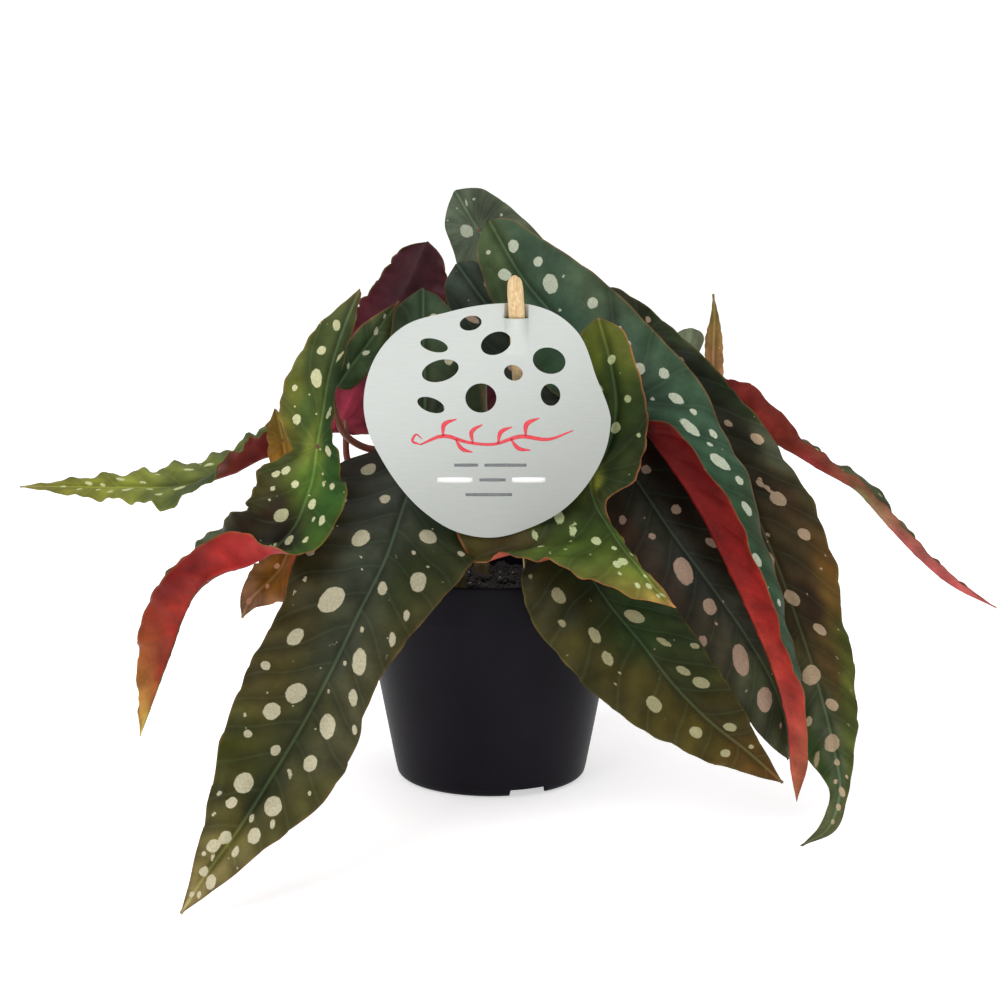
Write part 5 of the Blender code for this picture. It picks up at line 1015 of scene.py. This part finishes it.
def card_board():
    """Metallised card, offset printed: silver ink on smooth coated board. Gives a soft grey shine that gets
    darker to the lower right, a painted shade in its colour, over a very fine brushed grain."""
    mat, tree, shader = start_material("card_board_silver_offset_print")
    where = add(tree, "ShaderNodeTexCoord").outputs["Object"]
    place = add(tree, "ShaderNodeSeparateXYZ", {0: where})
    # Painted light and shade: the colour is lighter at the upper left and darker to the lower right.
    slope = add(tree, "ShaderNodeMath", {0: place.outputs[0], 1: -0.55, 2: place.outputs[2]},
                operation="MULTIPLY_ADD").outputs[0]
    painted_light_falloff = add(tree, "ShaderNodeMapRange", {0: slope, 1: 0.115, 2: 0.21, 3: 0.0, 4: 1.0},
               interpolation_type="SMOOTHSTEP").outputs[0]
    silver = add(tree, "ShaderNodeMix", {0: painted_light_falloff, 6: linear("#a6a9a4"), 7: linear("#c8ccc8")},
                 data_type="RGBA").outputs[2]
    # Brushing of the foil, 0.25 mm, drawn coarser than real so that it shows.
    brush = add(tree, "ShaderNodeMapping", {"Vector": where, "Scale": (180.0, 180.0, 3600.0)}).outputs[0]
    brush = add(tree, "ShaderNodeTexNoise", {"Vector": brush, "Scale": 1.0, "Detail": 3.0}).outputs["Fac"]
    tone = add(tree, "ShaderNodeMapRange", {0: brush, 1: 0.3, 2: 0.7, 3: 0.955, 4: 1.03}).outputs[0]
    silver = add(tree, "ShaderNodeVectorMath", {0: silver, 3: tone}, operation="SCALE").outputs[0]
    plug(tree, shader.inputs["Base Color"], silver)
    gloss = add(tree, "ShaderNodeMapRange", {0: brush, 1: 0.3, 2: 0.7, 3: 0.3, 4: 0.42}).outputs[0]
    plug(tree, shader.inputs["Roughness"], gloss)
    bump = add(tree, "ShaderNodeBump", {"Strength": 0.12, "Distance": 0.0001, "Height": brush})
    plug(tree, shader.inputs["Normal"], bump.outputs[0])
    shader.inputs["Metallic"].default_value = 0.25
    return mat


def cut_edge():
    """Die-cut edge of white board. Gives a thin pale fibrous line round the card and its cut-outs."""
    mat, tree, shader = start_material("card_board_die_cut_edge")
    where = add(tree, "ShaderNodeTexCoord").outputs["Object"]
    fibre = add(tree, "ShaderNodeTexNoise", {"Vector": where, "Scale": 1400.0, "Detail": 3.0}).outputs["Fac"]
    shade = add(tree, "ShaderNodeMapRange", {0: fibre, 1: 0.3, 2: 0.7, 3: 0.0, 4: 1.0}).outputs[0]
    pulp = add(tree, "ShaderNodeMix", {0: shade, 6: linear("#d8d4c8"), 7: linear("#f4f2ea")},
               data_type="RGBA").outputs[2]
    plug(tree, shader.inputs["Base Color"], pulp)
    shader.inputs["Roughness"].default_value = 0.8
    return mat


def printing_ink(name, code, thin_code, rough):
    """Offset printing ink on coated board. Gives a flat film with slightly uneven cover."""
    mat, tree, shader = start_material(name)
    where = add(tree, "ShaderNodeTexCoord").outputs["Object"]
    cover = add(tree, "ShaderNodeTexNoise", {"Vector": where, "Scale": 800.0, "Detail": 3.0}).outputs["Fac"]
    cover = add(tree, "ShaderNodeMapRange", {0: cover, 1: 0.3, 2: 0.7, 3: 0.0, 4: 0.6}).outputs[0]
    ink = add(tree, "ShaderNodeMix", {0: cover, 6: linear(code), 7: linear(thin_code)},
              data_type="RGBA").outputs[2]
    plug(tree, shader.inputs["Base Color"], ink)
    shader.inputs["Roughness"].default_value = rough
    return mat


def birch():
    """Birch dowel, turned and sanded. Gives fine straight grain along the stick and a dry matte surface."""
    mat, tree, shader = start_material("stick_birch_turned_sanded")
    where = add(tree, "ShaderNodeTexCoord").outputs["Object"]
    # Grain lines 0.5 mm apart run along the lean of the stick.
    turned = add(tree, "ShaderNodeMapping", {"Vector": where, "Rotation": (radians(-19.5), 0.0, 0.0),
                                             "Scale": (1700.0, 1700.0, 55.0)}).outputs[0]
    grain = add(tree, "ShaderNodeTexNoise", {"Vector": turned, "Scale": 1.0, "Detail": 4.0}).outputs["Fac"]
    shade = add(tree, "ShaderNodeMapRange", {0: grain, 1: 0.32, 2: 0.68, 3: 0.0, 4: 1.0}).outputs[0]
    wood = add(tree, "ShaderNodeMix", {0: shade, 6: linear("#c79f68"), 7: linear("#ecd3a6")},
               data_type="RGBA").outputs[2]
    plug(tree, shader.inputs["Base Color"], wood)
    gloss = add(tree, "ShaderNodeMapRange", {0: shade, 1: 0.0, 2: 1.0, 3: 0.7, 4: 0.55}).outputs[0]
    plug(tree, shader.inputs["Roughness"], gloss)
    bump = add(tree, "ShaderNodeBump", {"Strength": 0.4, "Distance": 0.0002, "Height": grain})
    plug(tree, shader.inputs["Normal"], bump.outputs[0])
    return mat


def tube(points, radii, sides):
    """A closed round bar along points, with domed ends."""
    points = np.asarray(points, float)
    radii = np.asarray(radii, float)
    along = unit(np.gradient(points, axis=0))
    ends = []
    for end, direction in ((0, -along[0]), (-1, along[-1])):
        ends.append([(points[end] + direction * radii[end] * sin(b) * 0.6, radii[end] * cos(b))
                     for b in (radians(30), radians(60), radians(80))])
    line = [p for p, _ in reversed(ends[0])] + list(points) + [p for p, _ in ends[1]]
    sizes = [r for _, r in reversed(ends[0])] + list(radii) + [r for _, r in ends[1]]
    heading = [along[0]] * 3 + list(along) + [along[-1]] * 3
    across = unit(np.cross(along[0], (0.31, 0.17, 0.94) if abs(along[0][2]) < 0.9 else (0.0, 1.0, 0.0)))
    verts, rings = [], []
    for point, direction, radius in zip(line, heading, sizes):
        across = unit(across - direction * np.dot(across, direction))
        other = np.cross(direction, across)
        rings.append(range(len(verts), len(verts) + sides))
        for k in range(sides):
            verts.append(point + radius * (cos(tau * k / sides) * across + sin(tau * k / sides) * other))
    faces = [tuple(reversed(rings[0])), tuple(rings[-1])]
    for low, high in zip(rings, rings[1:]):
        for k in range(sides):
            faces.append((low[k], low[(k + 1) % sides], high[(k + 1) % sides], high[k]))
    return verts, faces


def pot_wall(z):
    return POT_BASE_RADIUS + POT_TAPER * (z - POT_TAPER_FROM)


def in_notch(angle):
    half = radians(FOOT_NOTCH_HALF_ANGLE)
    return any(abs((angle - radians(a) + pi) % tau - pi) < half for a in FOOT_NOTCH_ANGLES)


def pot_columns():
    """Angles of the pot's columns, with a close pair at each side of each foot notch."""
    half = radians(FOOT_NOTCH_HALF_ANGLE)
    edges = [radians(a) + side * half for a in FOOT_NOTCH_ANGLES for side in (-1, 1)]
    angles = [tau * k / POT_SIDES for k in range(POT_SIDES)]
    angles = [a for a in angles if all(abs((a - e + pi) % tau - pi) > radians(1) for e in edges)]
    pairs = [e + nudge for e in edges for nudge in (-radians(0.25), radians(0.25))]
    return sorted(a % tau for a in angles + pairs)


def rounded(profile, radii):
    """A profile with each corner replaced by a short arc of the given size."""
    out = [profile[0]]
    for before, corner, after, size in zip(profile, profile[1:], profile[2:], radii):
        p, c, q = (np.array(v, float) for v in (before, corner, after))
        reach = min(size, 0.45 * np.linalg.norm(p - c), 0.45 * np.linalg.norm(q - c))
        start, end = c + unit(p - c) * reach, c + unit(q - c) * reach
        out += [tuple((1 - w) ** 2 * start + 2 * w * (1 - w) * c + w * w * end) for w in (0, 0.33, 0.67, 1)]
    return out + [profile[-1]]


def build_pot():
    """The pot turned about Z: foot ring, tapered wall, a stepped band under the rim and a rolled lip."""
    band = POT_HEIGHT - POT_BAND_HEIGHT
    inner_top, inner_low = pot_wall(POT_LIP_TURN) - POT_WALL, pot_wall(POT_INSIDE_FOOT) - POT_WALL
    profile = [(0, 0), (POT_PAD_RADIUS, 0), (POT_PAD_RADIUS + 0.6, POT_GROOVE_DEPTH),
               (39.2, POT_GROOVE_DEPTH), (39.8, 0), (41.0, 0), (42.4, 1.2),
               (POT_BASE_RADIUS, POT_TAPER_FROM), (pot_wall(band), band),
               (pot_wall(band) + 1.1, band + 0.3),
               (POT_TOP_RADIUS - 0.2, 92.6), (POT_TOP_RADIUS, POT_LIP_TURN),
               (POT_TOP_RADIUS - 0.3, POT_HEIGHT), (inner_top + 0.4, POT_HEIGHT), (inner_top, POT_LIP_TURN),
               (inner_low, POT_INSIDE_FOOT), (inner_low - 1.2, POT_FLOOR), (0, POT_FLOOR)]
    sizes = (0.5, 0.5, 0.5, 0.3, 0.4, 1.0, 2.0, 0.4, 0.5, 1.0, 0.4, 0.3, 0.3, 0.4, 0.6, 0.6)
    line = rounded(profile, sizes)
    columns = pot_columns()
    n = len(columns)
    verts = [(0.0, 0.0, line[0][1])]
    for radius, z in line[1:-1]:
        for a in columns:
            foot = radius > 39.5 and z < POT_GROOVE_DEPTH and in_notch(a)
            verts.append((radius * cos(a), radius * sin(a), POT_GROOVE_DEPTH if foot else z))
    verts.append((0.0, 0.0, line[-1][1]))
    rings = len(line) - 2
    faces = [(0, 1 + (k + 1) % n, 1 + k) for k in range(n)]
    for r in range(rings - 1):
        base = 1 + r * n
        faces += [(base + k, base + (k + 1) % n, base + n + (k + 1) % n, base + n + k) for k in range(n)]
    last = 1 + (rings - 1) * n
    faces += [(last + k, last + (k + 1) % n, len(verts) - 1) for k in range(n)]
    return finish_piece("pot_shell", verts, faces, (POT_PLASTIC,), smooth=False)


def build_soil():
    """The soil: a lumpy top over a closed body that fills the pot."""
    radius = pot_wall(SOIL_TOP) - POT_WALL - SOIL_GAP
    rings, sides = 42, 132
    rng = np.random.default_rng(7)
    waves = [(rng.uniform(0.08, 0.8), rng.uniform(0, tau), rng.uniform(0, tau)) for _ in range(14)]
    verts, faces = [(0.0, 0.0, SOIL_TOP)], []
    for r in range(1, rings + 1):
        for k in range(sides):
            x, y = radius * r / rings * cos(tau * k / sides), radius * r / rings * sin(tau * k / sides)
            lump = sum(0.32 / (0.6 + f) * sin(f * (x * cos(d) + y * sin(d)) * 1.6 + p) for f, d, p in waves)
            calm = min(1.0, (rings - r) / 4)
            verts.append((x, y, SOIL_TOP - 1.4 + 0.9 * calm + lump * calm))
    faces += [(0, 1 + k, 1 + (k + 1) % sides) for k in range(sides)]
    for r in range(rings - 1):
        base = 1 + r * sides
        faces += [(base + k, base + sides + k, base + sides + (k + 1) % sides, base + (k + 1) % sides)
                  for k in range(sides)]
    low = [(pot_wall(6.4) - POT_WALL - 0.4, 6.4), (pot_wall(5.6) - POT_WALL - 1.6, POT_FLOOR + 0.4)]
    previous = 1 + (rings - 1) * sides
    for size, z in low:
        start = len(verts)
        verts += [(size * cos(tau * k / sides), size * sin(tau * k / sides), z) for k in range(sides)]
        faces += [(previous + k, start + k, start + (k + 1) % sides, previous + (k + 1) % sides)
                  for k in range(sides)]
        previous = start
    verts.append((0.0, 0.0, POT_FLOOR + 0.4))
    faces += [(previous + (k + 1) % sides, previous + k, len(verts) - 1) for k in range(sides)]
    return outward(finish_piece("soil_body", verts, faces, (SOIL,)))


def crumb_scatter(name, ground, seed, density, small, large, mat):
    """Crumbs strewn over the ground's top by a node tree: rough little stones of random size and turn."""
    tree = bpy.data.node_groups.new(name + "_tree", "GeometryNodeTree")
    tree.interface.new_socket("Geometry", in_out="INPUT", socket_type="NodeSocketGeometry")
    sizes = [("Crumbs per square metre", density), ("Smallest radius", small), ("Largest radius", large)]
    for label, value in sizes:
        tree.interface.new_socket(label, in_out="INPUT", socket_type="NodeSocketFloat").default_value = value
    tree.interface.new_socket("Geometry", in_out="OUTPUT", socket_type="NodeSocketGeometry")
    into, out = add(tree, "NodeGroupInput"), add(tree, "NodeGroupOutput")
    normal = add(tree, "GeometryNodeInputNormal").outputs[0]
    up = add(tree, "ShaderNodeSeparateXYZ", {0: normal}).outputs[2]
    # The rim's corner looks half outwards (0.7), so a higher bar keeps the crumbs off the side.
    facing = add(tree, "FunctionNodeCompare", {0: up, 1: 0.8}, data_type="FLOAT",
                 operation="GREATER_THAN").outputs[0]
    points = add(tree, "GeometryNodeDistributePointsOnFaces",
                 {"Mesh": into.outputs[0], "Selection": facing, "Density": into.outputs[1], "Seed": seed})
    stone = add(tree, "GeometryNodeMeshIcoSphere", {"Radius": 1.0, "Subdivisions": 2}).outputs["Mesh"]
    dents = add(tree, "ShaderNodeTexNoise", {"Scale": 1.3, "Detail": 2.0}).outputs["Color"]
    dents = add(tree, "ShaderNodeVectorMath", {0: dents, 1: (0.5, 0.5, 0.5)}, operation="SUBTRACT").outputs[0]
    dents = add(tree, "ShaderNodeVectorMath", {0: dents, 3: 1.5}, operation="SCALE").outputs[0]
    stone = add(tree, "GeometryNodeSetPosition", {"Geometry": stone, "Offset": dents}).outputs[0]
    turn = add(tree, "FunctionNodeRandomValue", {"Max": (tau, tau, tau), "Seed": seed + 1},
               data_type="FLOAT_VECTOR").outputs[0]
    size = add(tree, "FunctionNodeRandomValue",
               {2: into.outputs[2], 3: into.outputs[3], "Seed": seed + 2}, data_type="FLOAT").outputs[1]
    strewn = add(tree, "GeometryNodeInstanceOnPoints",
                 {"Points": points.outputs["Points"], "Instance": stone, "Rotation": turn, "Scale": size})
    real = add(tree, "GeometryNodeRealizeInstances", {0: strewn.outputs[0]}).outputs[0]
    dressed = add(tree, "GeometryNodeSetMaterial", {"Geometry": real, "Material": mat}).outputs[0]
    tree.links.new(dressed, out.inputs[0])
    obj = bpy.data.objects.new(name, ground.data.copy())
    bpy.context.scene.collection.objects.link(obj)
    modifier = obj.modifiers.new("strewn", "NODES")
    modifier.node_group = tree
    for item in tree.interface.items_tree:
        if item.in_out == "INPUT" and item.name in dict(sizes):
            modifier[item.identifier] = dict(sizes)[item.name]
    graph = bpy.context.evaluated_depsgraph_get()
    mesh = bpy.data.meshes.new_from_object(obj.evaluated_get(graph))
    obj.modifiers.clear()
    obj.data = mesh
    return obj


def card_bend(a, b):
    """How far a point of the card is pushed back (+) or forward (-) around the slit."""
    da = (a - CARD_SLIT[0]) / CARD_SLIT_HALF_WIDTH
    away = b - CARD_SLIT[1]
    if abs(da) >= 1.0:
        return 0.0
    across = 1.0 - da * da
    if away > 0:
        return CARD_LIP_BACK * across * max(0.0, 1.0 - away / 12.0)
    return -CARD_LIP_FRONT * across * max(0.0, 1.0 + away / CARD_LIP_REACH)


def card_point(a, b, proud=0.0):
    """A place on the card's middle sheet, or proud of it towards the front, in mm."""
    depth = CARD_CENTRE[1] - CARD_LEAN * b + card_bend(a, b) - proud
    return (CARD_CENTRE[0] + a, depth, CARD_CENTRE[2] + b)


def inside(loop, x, y):
    hit = False
    for (x0, y0), (x1, y1) in zip(loop, loop[1:] + loop[:1]):
        if (y0 > y) != (y1 > y) and x < (x1 - x0) * (y - y0) / (y1 - y0) + x0:
            hit = not hit
    return hit


def build_card():
    """The card: its wavy outline, nine cut-outs and the slit with its two lips, with pale cut edges."""
    angles = np.array([a for a, _ in CARD_OUTLINE] + [CARD_OUTLINE[0][0] + 360.0])
    radii = np.array([[r] for _, r in CARD_OUTLINE] + [[CARD_OUTLINE[0][1]]])
    turn = np.linspace(angles[0], angles[0] + 360.0, CARD_POINTS, endpoint=False)
    reach = through(angles, radii, turn)[:, 0]
    loops = [[(r * cos(radians(t)), r * sin(radians(t))) for r, t in zip(reach, turn)]]
    for a, b, wide, high, tilt in CARD_HOLES:
        c, s = cos(radians(tilt)), sin(radians(tilt))
        ring = [(wide * cos(tau * k / CARD_HOLE_POINTS), high * sin(tau * k / CARD_HOLE_POINTS))
                for k in range(CARD_HOLE_POINTS)]
        loops.append([(a + c * x - s * y, b + s * x + c * y) for x, y in ring])
    across = [CARD_SLIT[0] + CARD_SLIT_HALF_WIDTH * s for s in np.linspace(-1.0, 1.0, 25)]
    slit = [(a, CARD_SLIT[1] - CARD_SLIT_HALF_HEIGHT) for a in across]
    loops.append(slit + [(a, CARD_SLIT[1] + CARD_SLIT_HALF_HEIGHT) for a in across[-2:0:-1]])
    spots = [(a, b) for a in np.arange(-51, 52, 1.5) for b in np.arange(-51, 52, 1.5)]
    spots += [(CARD_SLIT[0] + a, b) for a in np.arange(-6.5, 6.6, 0.6) for b in np.arange(26, 46.5, 0.6)]
    rims = np.array([p for loop in loops for p in loop])
    inner = []
    for a, b in spots:
        if np.hypot(rims[:, 0] - a, rims[:, 1] - b).min() > 0.5 and inside(loops[0], a, b) and not any(
                inside(loop, a, b) for loop in loops[1:]):
            inner.append((a, b))
    points, edges = [], []
    for loop in loops:
        first, n = len(points), len(loop)
        points += [Vector((float(a), float(b))) for a, b in loop]
        edges += [(first + k, first + (k + 1) % n) for k in range(n)]
    points += [Vector((float(a), float(b))) for a, b in inner]
    flat, _, tris, _, _, _ = delaunay_2d_cdt(points, edges, [], 0, 1e-5)
    kept = []
    for tri in tris:
        a, b = (sum(flat[k][axis] for k in tri) / 3 for axis in (0, 1))
        if inside(loops[0], a, b) and not any(inside(loop, a, b) for loop in loops[1:]):
            kept.append(tuple(tri))
    n = len(flat)
    half = CARD_THICKNESS / 2
    verts = [card_point(p.x, p.y, half) for p in flat] + [card_point(p.x, p.y, -half) for p in flat]
    faces = [tri for tri in kept] + [tuple(n + k for k in reversed(tri)) for tri in kept]
    slots = [0] * len(faces)
    first = 0
    for loop in loops:
        count = len(loop)
        for k in range(count):
            a, b = first + k, first + (k + 1) % count
            faces.append((b, a, n + a, n + b))
            slots.append(1)
        first += count
    card = finish_piece("card_sheet", verts, faces, (CARD_BOARD, CUT_EDGE), slots, smooth=False)
    return outward(card)


def ribbon(strokes, steps=26):
    """Flat ink strokes on the card's face: each a list of (across, up, half width) in mm."""
    verts, faces = [], []
    for stroke in strokes:
        stroke = np.array(stroke, float)
        knots = chords(stroke[:, :2])
        line = through(knots, stroke, np.linspace(0.0, knots[-1], steps))
        heading = unit(np.gradient(line[:, :2], axis=0))
        for k, ((a, b, wide), (da, db)) in enumerate(zip(line, heading)):
            wide = max(wide, 0.05)
            first = len(verts)
            for proud in (0.02, 0.09):
                for side in (-1, 1):
                    a2, b2 = a - db * wide * side, b + da * wide * side
                    verts.append(card_point(a2, b2, CARD_THICKNESS / 2 + proud))
            if k:
                p = first - 4
                faces += [(p, first, first + 1, p + 1), (p + 2, p + 3, first + 3, first + 2),
                          (p, p + 2, first + 2, first), (p + 1, first + 1, first + 3, p + 3)]
            if k in (0, steps - 1):
                faces.append((first, first + 1, first + 3, first + 2))
    return verts, faces


def cane_line(points, low, high):
    """A cane's middle line and radii, with a ring at each node where a leaf once grew."""
    points = np.array(points, float)
    knots = chords(points)
    at = np.linspace(0.0, knots[-1], 90)
    ring = sum(np.exp(-((at - spot) / 1.6) ** 2) for spot in np.arange(16.0, knots[-1] - 6, 24.0))
    radii = low + (high - low) * at / knots[-1]
    return through(knots, points, at), radii * (0.94 + 0.14 * ring)


def nearest_on(lines, point):
    """The closest point of any cane's centre line, with that cane's radius there."""
    best = None
    for line, low, high in lines:
        for k in range(len(line) - 1):
            run = line[k + 1] - line[k]
            t = float(np.clip(np.dot(point - line[k], run) / np.dot(run, run), 0.0, 1.0))
            spot = line[k] + t * run
            far = np.linalg.norm(point - spot)
            if best is None or far < best[0]:
                best = (far, spot, low + (high - low) * (k + t) / (len(line) - 1))
    return best[1], best[2]


def petiole_line(rows, row, via, canes):
    """A petiole's middle line, from inside the cane to just inside the blade, and its radii."""
    via = np.array(via, float)
    spot, radius = nearest_on(canes, via[0])
    out = unit(via[0] - spot)
    mids = np.array([r[0] for r in rows], float)
    along = unit(np.gradient(mids, axis=0))[row]
    low = max(row, 1)
    across = np.array(rows[low][2], float) - np.array(rows[low][1], float)
    up = unit(np.cross(along, across))
    end = mids[row] - up * (BLADE_THICKNESS / 2 + 0.4)
    root, collar = spot + out * (radius - 1.2), spot + out * (radius + 3.0)
    points = np.vstack([root, collar, via[1:], end - up * 4.5, end])
    knots = chords(points)
    at = np.linspace(0.0, knots[-1], 60)
    radii = np.interp(at, [0.0, 3.0, 7.0, knots[-1] - 5.0, knots[-1]],
                      [PETIOLE_RADII[0] * 1.3, PETIOLE_RADII[0] * 1.12, PETIOLE_RADII[0], PETIOLE_RADII[1],
                       PETIOLE_RADII[1] * 1.15])
    return through(knots, points, at), radii


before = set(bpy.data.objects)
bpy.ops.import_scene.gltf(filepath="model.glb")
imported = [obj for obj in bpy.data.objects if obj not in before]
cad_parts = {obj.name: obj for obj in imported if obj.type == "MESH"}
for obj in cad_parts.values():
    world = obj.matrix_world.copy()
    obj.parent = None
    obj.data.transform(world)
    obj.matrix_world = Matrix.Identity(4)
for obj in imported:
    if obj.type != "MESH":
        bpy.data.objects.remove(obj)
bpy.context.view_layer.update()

LEAF_UPPER, LEAF_UNDER = leaf_upper(), leaf_under()
CANE_SKIN = stalk_skin("begonia_cane_woody_skin", "#4a5226", "#5f4a2a", "#8a8456")
PETIOLE_SKIN = stalk_skin("begonia_petiole_fleshy_skin", "#7a2a24", "#57401f", "#a8715a")
POT_PLASTIC, SOIL, PERLITE = pot_plastic(), potting_soil(), perlite()
CARD_BOARD, CUT_EDGE, BIRCH = card_board(), cut_edge(), birch()
RED_INK = printing_ink("card_ink_red_offset_print", "#e0303f", "#e85a62", 0.45)
GREY_INK = printing_ink("card_ink_grey_offset_print", "#6a6d70", "#85888a", 0.5)
WHITE_INK = printing_ink("card_ink_white_offset_print", "#f6f6f4", "#ffffff", 0.5)

# Pot and soil.
pot = outward(build_pot())
edge_angle = radians(28)
pot.data.shade_smooth()
pot.data.set_sharp_from_angle(angle=edge_angle)
stands_for(pot, "pot")
soil = build_soil()
crumbs = crumb_scatter("soil_crumbs", soil, 3, 190000.0, 0.7 * MM, 1.9 * MM, SOIL)
grit = crumb_scatter("soil_perlite", soil, 11, 6000.0, 0.6 * MM, 1.3 * MM, PERLITE)
stands_for(soil, "soil")
for piece in (crumbs, grit):
    piece.data.shade_smooth()
    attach(piece, "root")

# Card, its print, and the stick.
card = build_card()
card.data.shade_smooth()
card.data.set_sharp_from_angle(angle=edge_angle)
stands_for(card, "card")
RED_SPRIG = [
    [(-27, -9.5, 0.3), (-18, -6.0, 0.75), (-8, -8.6, 0.6), (2, -9.4, 0.55), (13, -6.2, 0.8), (24, -7.4, 0.6),
     (34, -3.8, 0.2)],
    [(-18, -6.0, 0.3), (-17.5, -1.5, 0.9), (-12.5, 0.8, 0.2)],
    [(-6, -9.0, 0.3), (-6.5, -4.4, 0.85), (-2.2, -1.4, 0.2)],
    [(4, -9.2, 0.3), (5.2, -4.4, 0.85), (9.6, -2.4, 0.2)],
    [(15, -6.2, 0.3), (15.4, -1.4, 0.95), (20.4, 1.2, 0.2)],
    [(-13, -7.2, 0.3), (-10.4, -11.2, 0.8), (-6.2, -12.6, 0.2)],
    [(9, -7.2, 0.3), (12.2, -11.0, 0.8), (17.0, -11.8, 0.2)],
    [(-27, -9.5, 0.2), (-30.2, -8.0, 0.5), (-28.6, -5.4, 0.35), (-26.4, -7.2, 0.15)]]
verts, faces = ribbon(RED_SPRIG)
print_red = outward(finish_piece("card_print_sprig", verts, faces, (RED_INK,)))
rules = [(-13.5, -4.0, -17.8), (-1.4, 15.4, -17.8), (-3.4, 7.0, -23.8), (-9.0, 9.6, -29.8)]
verts, faces = ribbon([[(a, b, 0.55), ((a + c) / 2, b, 0.62), (c, b, 0.55)] for a, c, b in rules], 8)
print_grey = outward(finish_piece("card_print_rules", verts, faces, (GREY_INK,)))
bars = [(-20.4, -6.2, -23.8), (9.6, 23.0, -23.8)]
verts, faces = ribbon([[(a, b, 1.0), ((a + c) / 2, b, 1.15), (c, b, 1.0)] for a, c, b in bars], 8)
print_white = outward(finish_piece("card_print_bars", verts, faces, (WHITE_INK,)))
for piece in (print_red, print_grey, print_white):
    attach(piece, "root")
foot, top = np.array(STICK_FOOT), np.array(STICK_TOP)
run = np.linalg.norm(top - foot)
near_top = [1 - back / run for back in (7, 4, 2.2, 1.0, 0.3)]
shares = [0.0, 0.02] + list(np.linspace(0.1, 0.9, 9)) + near_top + [1.0]
taper = [1.0] * 12 + [0.965, 0.9, 0.78, 0.6, 0.42]
verts, faces = tube([foot + (top - foot) * s for s in shares], [STICK_RADIUS * r for r in taper], 36)
stick = outward(finish_piece("stick_dowel", verts, faces, (BIRCH,)))
stands_for(stick, "stick")

# Canes, blades and petioles.
canes = []
for name, (points, low, high) in CANES.items():
    line, radii = cane_line(points, low, high)
    canes.append((line, low, high))
    cane = outward(finish_piece(name + "_stalk", *tube(line, radii, 24), (CANE_SKIN,)))
    stands_for(cane, name)
blades = dict(LEAVES)
for name, (mids, left, right, sag) in REAR_LEAVES.items():
    blades[name] = rear_rows(mids, left, right, sag)
feet = {leaf: row for leaf, row, _ in PETIOLES.values()}
dict.fromkeys(("leaf_front_left", "leaf_right_dark", "leaf_right_brown", "leaf_rear_low_left",
                            "leaf_rear_low_right"), "leaf_dark")
for number, (name, rows) in enumerate(blades.items()):
    stands_for(build_blade(name, rows, feet[name], number), name)
for name, (leaf, row, via) in PETIOLES.items():
    line, radii = petiole_line(blades[leaf], row, via, canes)
    petiole = outward(finish_piece(name + "_stalk", *tube(line, radii, 14), (PETIOLE_SKIN,)))
    stands_for(petiole, name)

# Floor: matt white studio sweep. Gives a pale ground that takes a faint soft shadow.
mat, tree, shader = start_material("studio_floor_matt_white")
speckle = add(tree, "ShaderNodeTexNoise", {"Vector": add(tree, "ShaderNodeTexCoord").outputs["Object"],
                                           "Scale": 60.0}).outputs["Fac"]
white = add(tree, "ShaderNodeMix", {0: speckle, 6: linear("#fafafa"), 7: linear("#ffffff")},
            data_type="RGBA").outputs[2]
plug(tree, shader.inputs["Base Color"], white)
shader.inputs["Roughness"].default_value = 0.9
shader.inputs["Emission Color"].default_value = (1.0, 1.0, 1.0, 1.0)
shader.inputs["Emission Strength"].default_value = 0.55
corners = [(FLOOR_REACH * x, FLOOR_REACH * y, FLOOR_HEIGHT) for x, y in ((-1, -1), (1, -1), (1, 1), (-1, 1))]
floor = finish_piece("studio_floor", corners, [(0, 1, 2, 3)], (mat,))

# Light: a white surround, one large soft key from the upper left front and a weaker one from the right.
world = bpy.data.worlds.new("studio_white")
world.use_nodes = True
world.node_tree.nodes["Background"].inputs["Color"].default_value = (1.0, 1.0, 1.0, 1.0)
world.node_tree.nodes["Background"].inputs["Strength"].default_value = 0.55
seen = add(world.node_tree, "ShaderNodeLightPath").outputs["Is Camera Ray"]
bright = add(world.node_tree, "ShaderNodeMath", {0: seen, 1: 0.5, 2: 0.55},
             operation="MULTIPLY_ADD").outputs[0]
plug(world.node_tree, world.node_tree.nodes["Background"].inputs["Strength"], bright)
bpy.context.scene.world = world
for name, place, size, power in LAMPS:
    lamp = bpy.data.lights.new("light_" + name, "AREA")
    lamp.size, lamp.energy = size, power
    obj = bpy.data.objects.new("light_" + name, lamp)
    obj.location = place
    obj.rotation_euler = (Vector(LAMPS_AIM) - Vector(place)).to_track_quat("-Z", "Y").to_euler()
    bpy.context.scene.collection.objects.link(obj)

camera = bpy.data.cameras.new("camera")
camera.lens, camera.sensor_width = 70.0, 36.0
camera.dof.use_dof = False
eye = bpy.data.objects.new("camera", camera)
eye.location = EYE_PLACE
eye.rotation_euler = (radians(90 - EYE_DOWN), 0.0, 0.0)
bpy.context.scene.collection.objects.link(eye)
bpy.context.scene.camera = eye
# Colours are matched to what a plain screen shows, without a film look.
bpy.context.scene.view_settings.view_transform = "Standard"
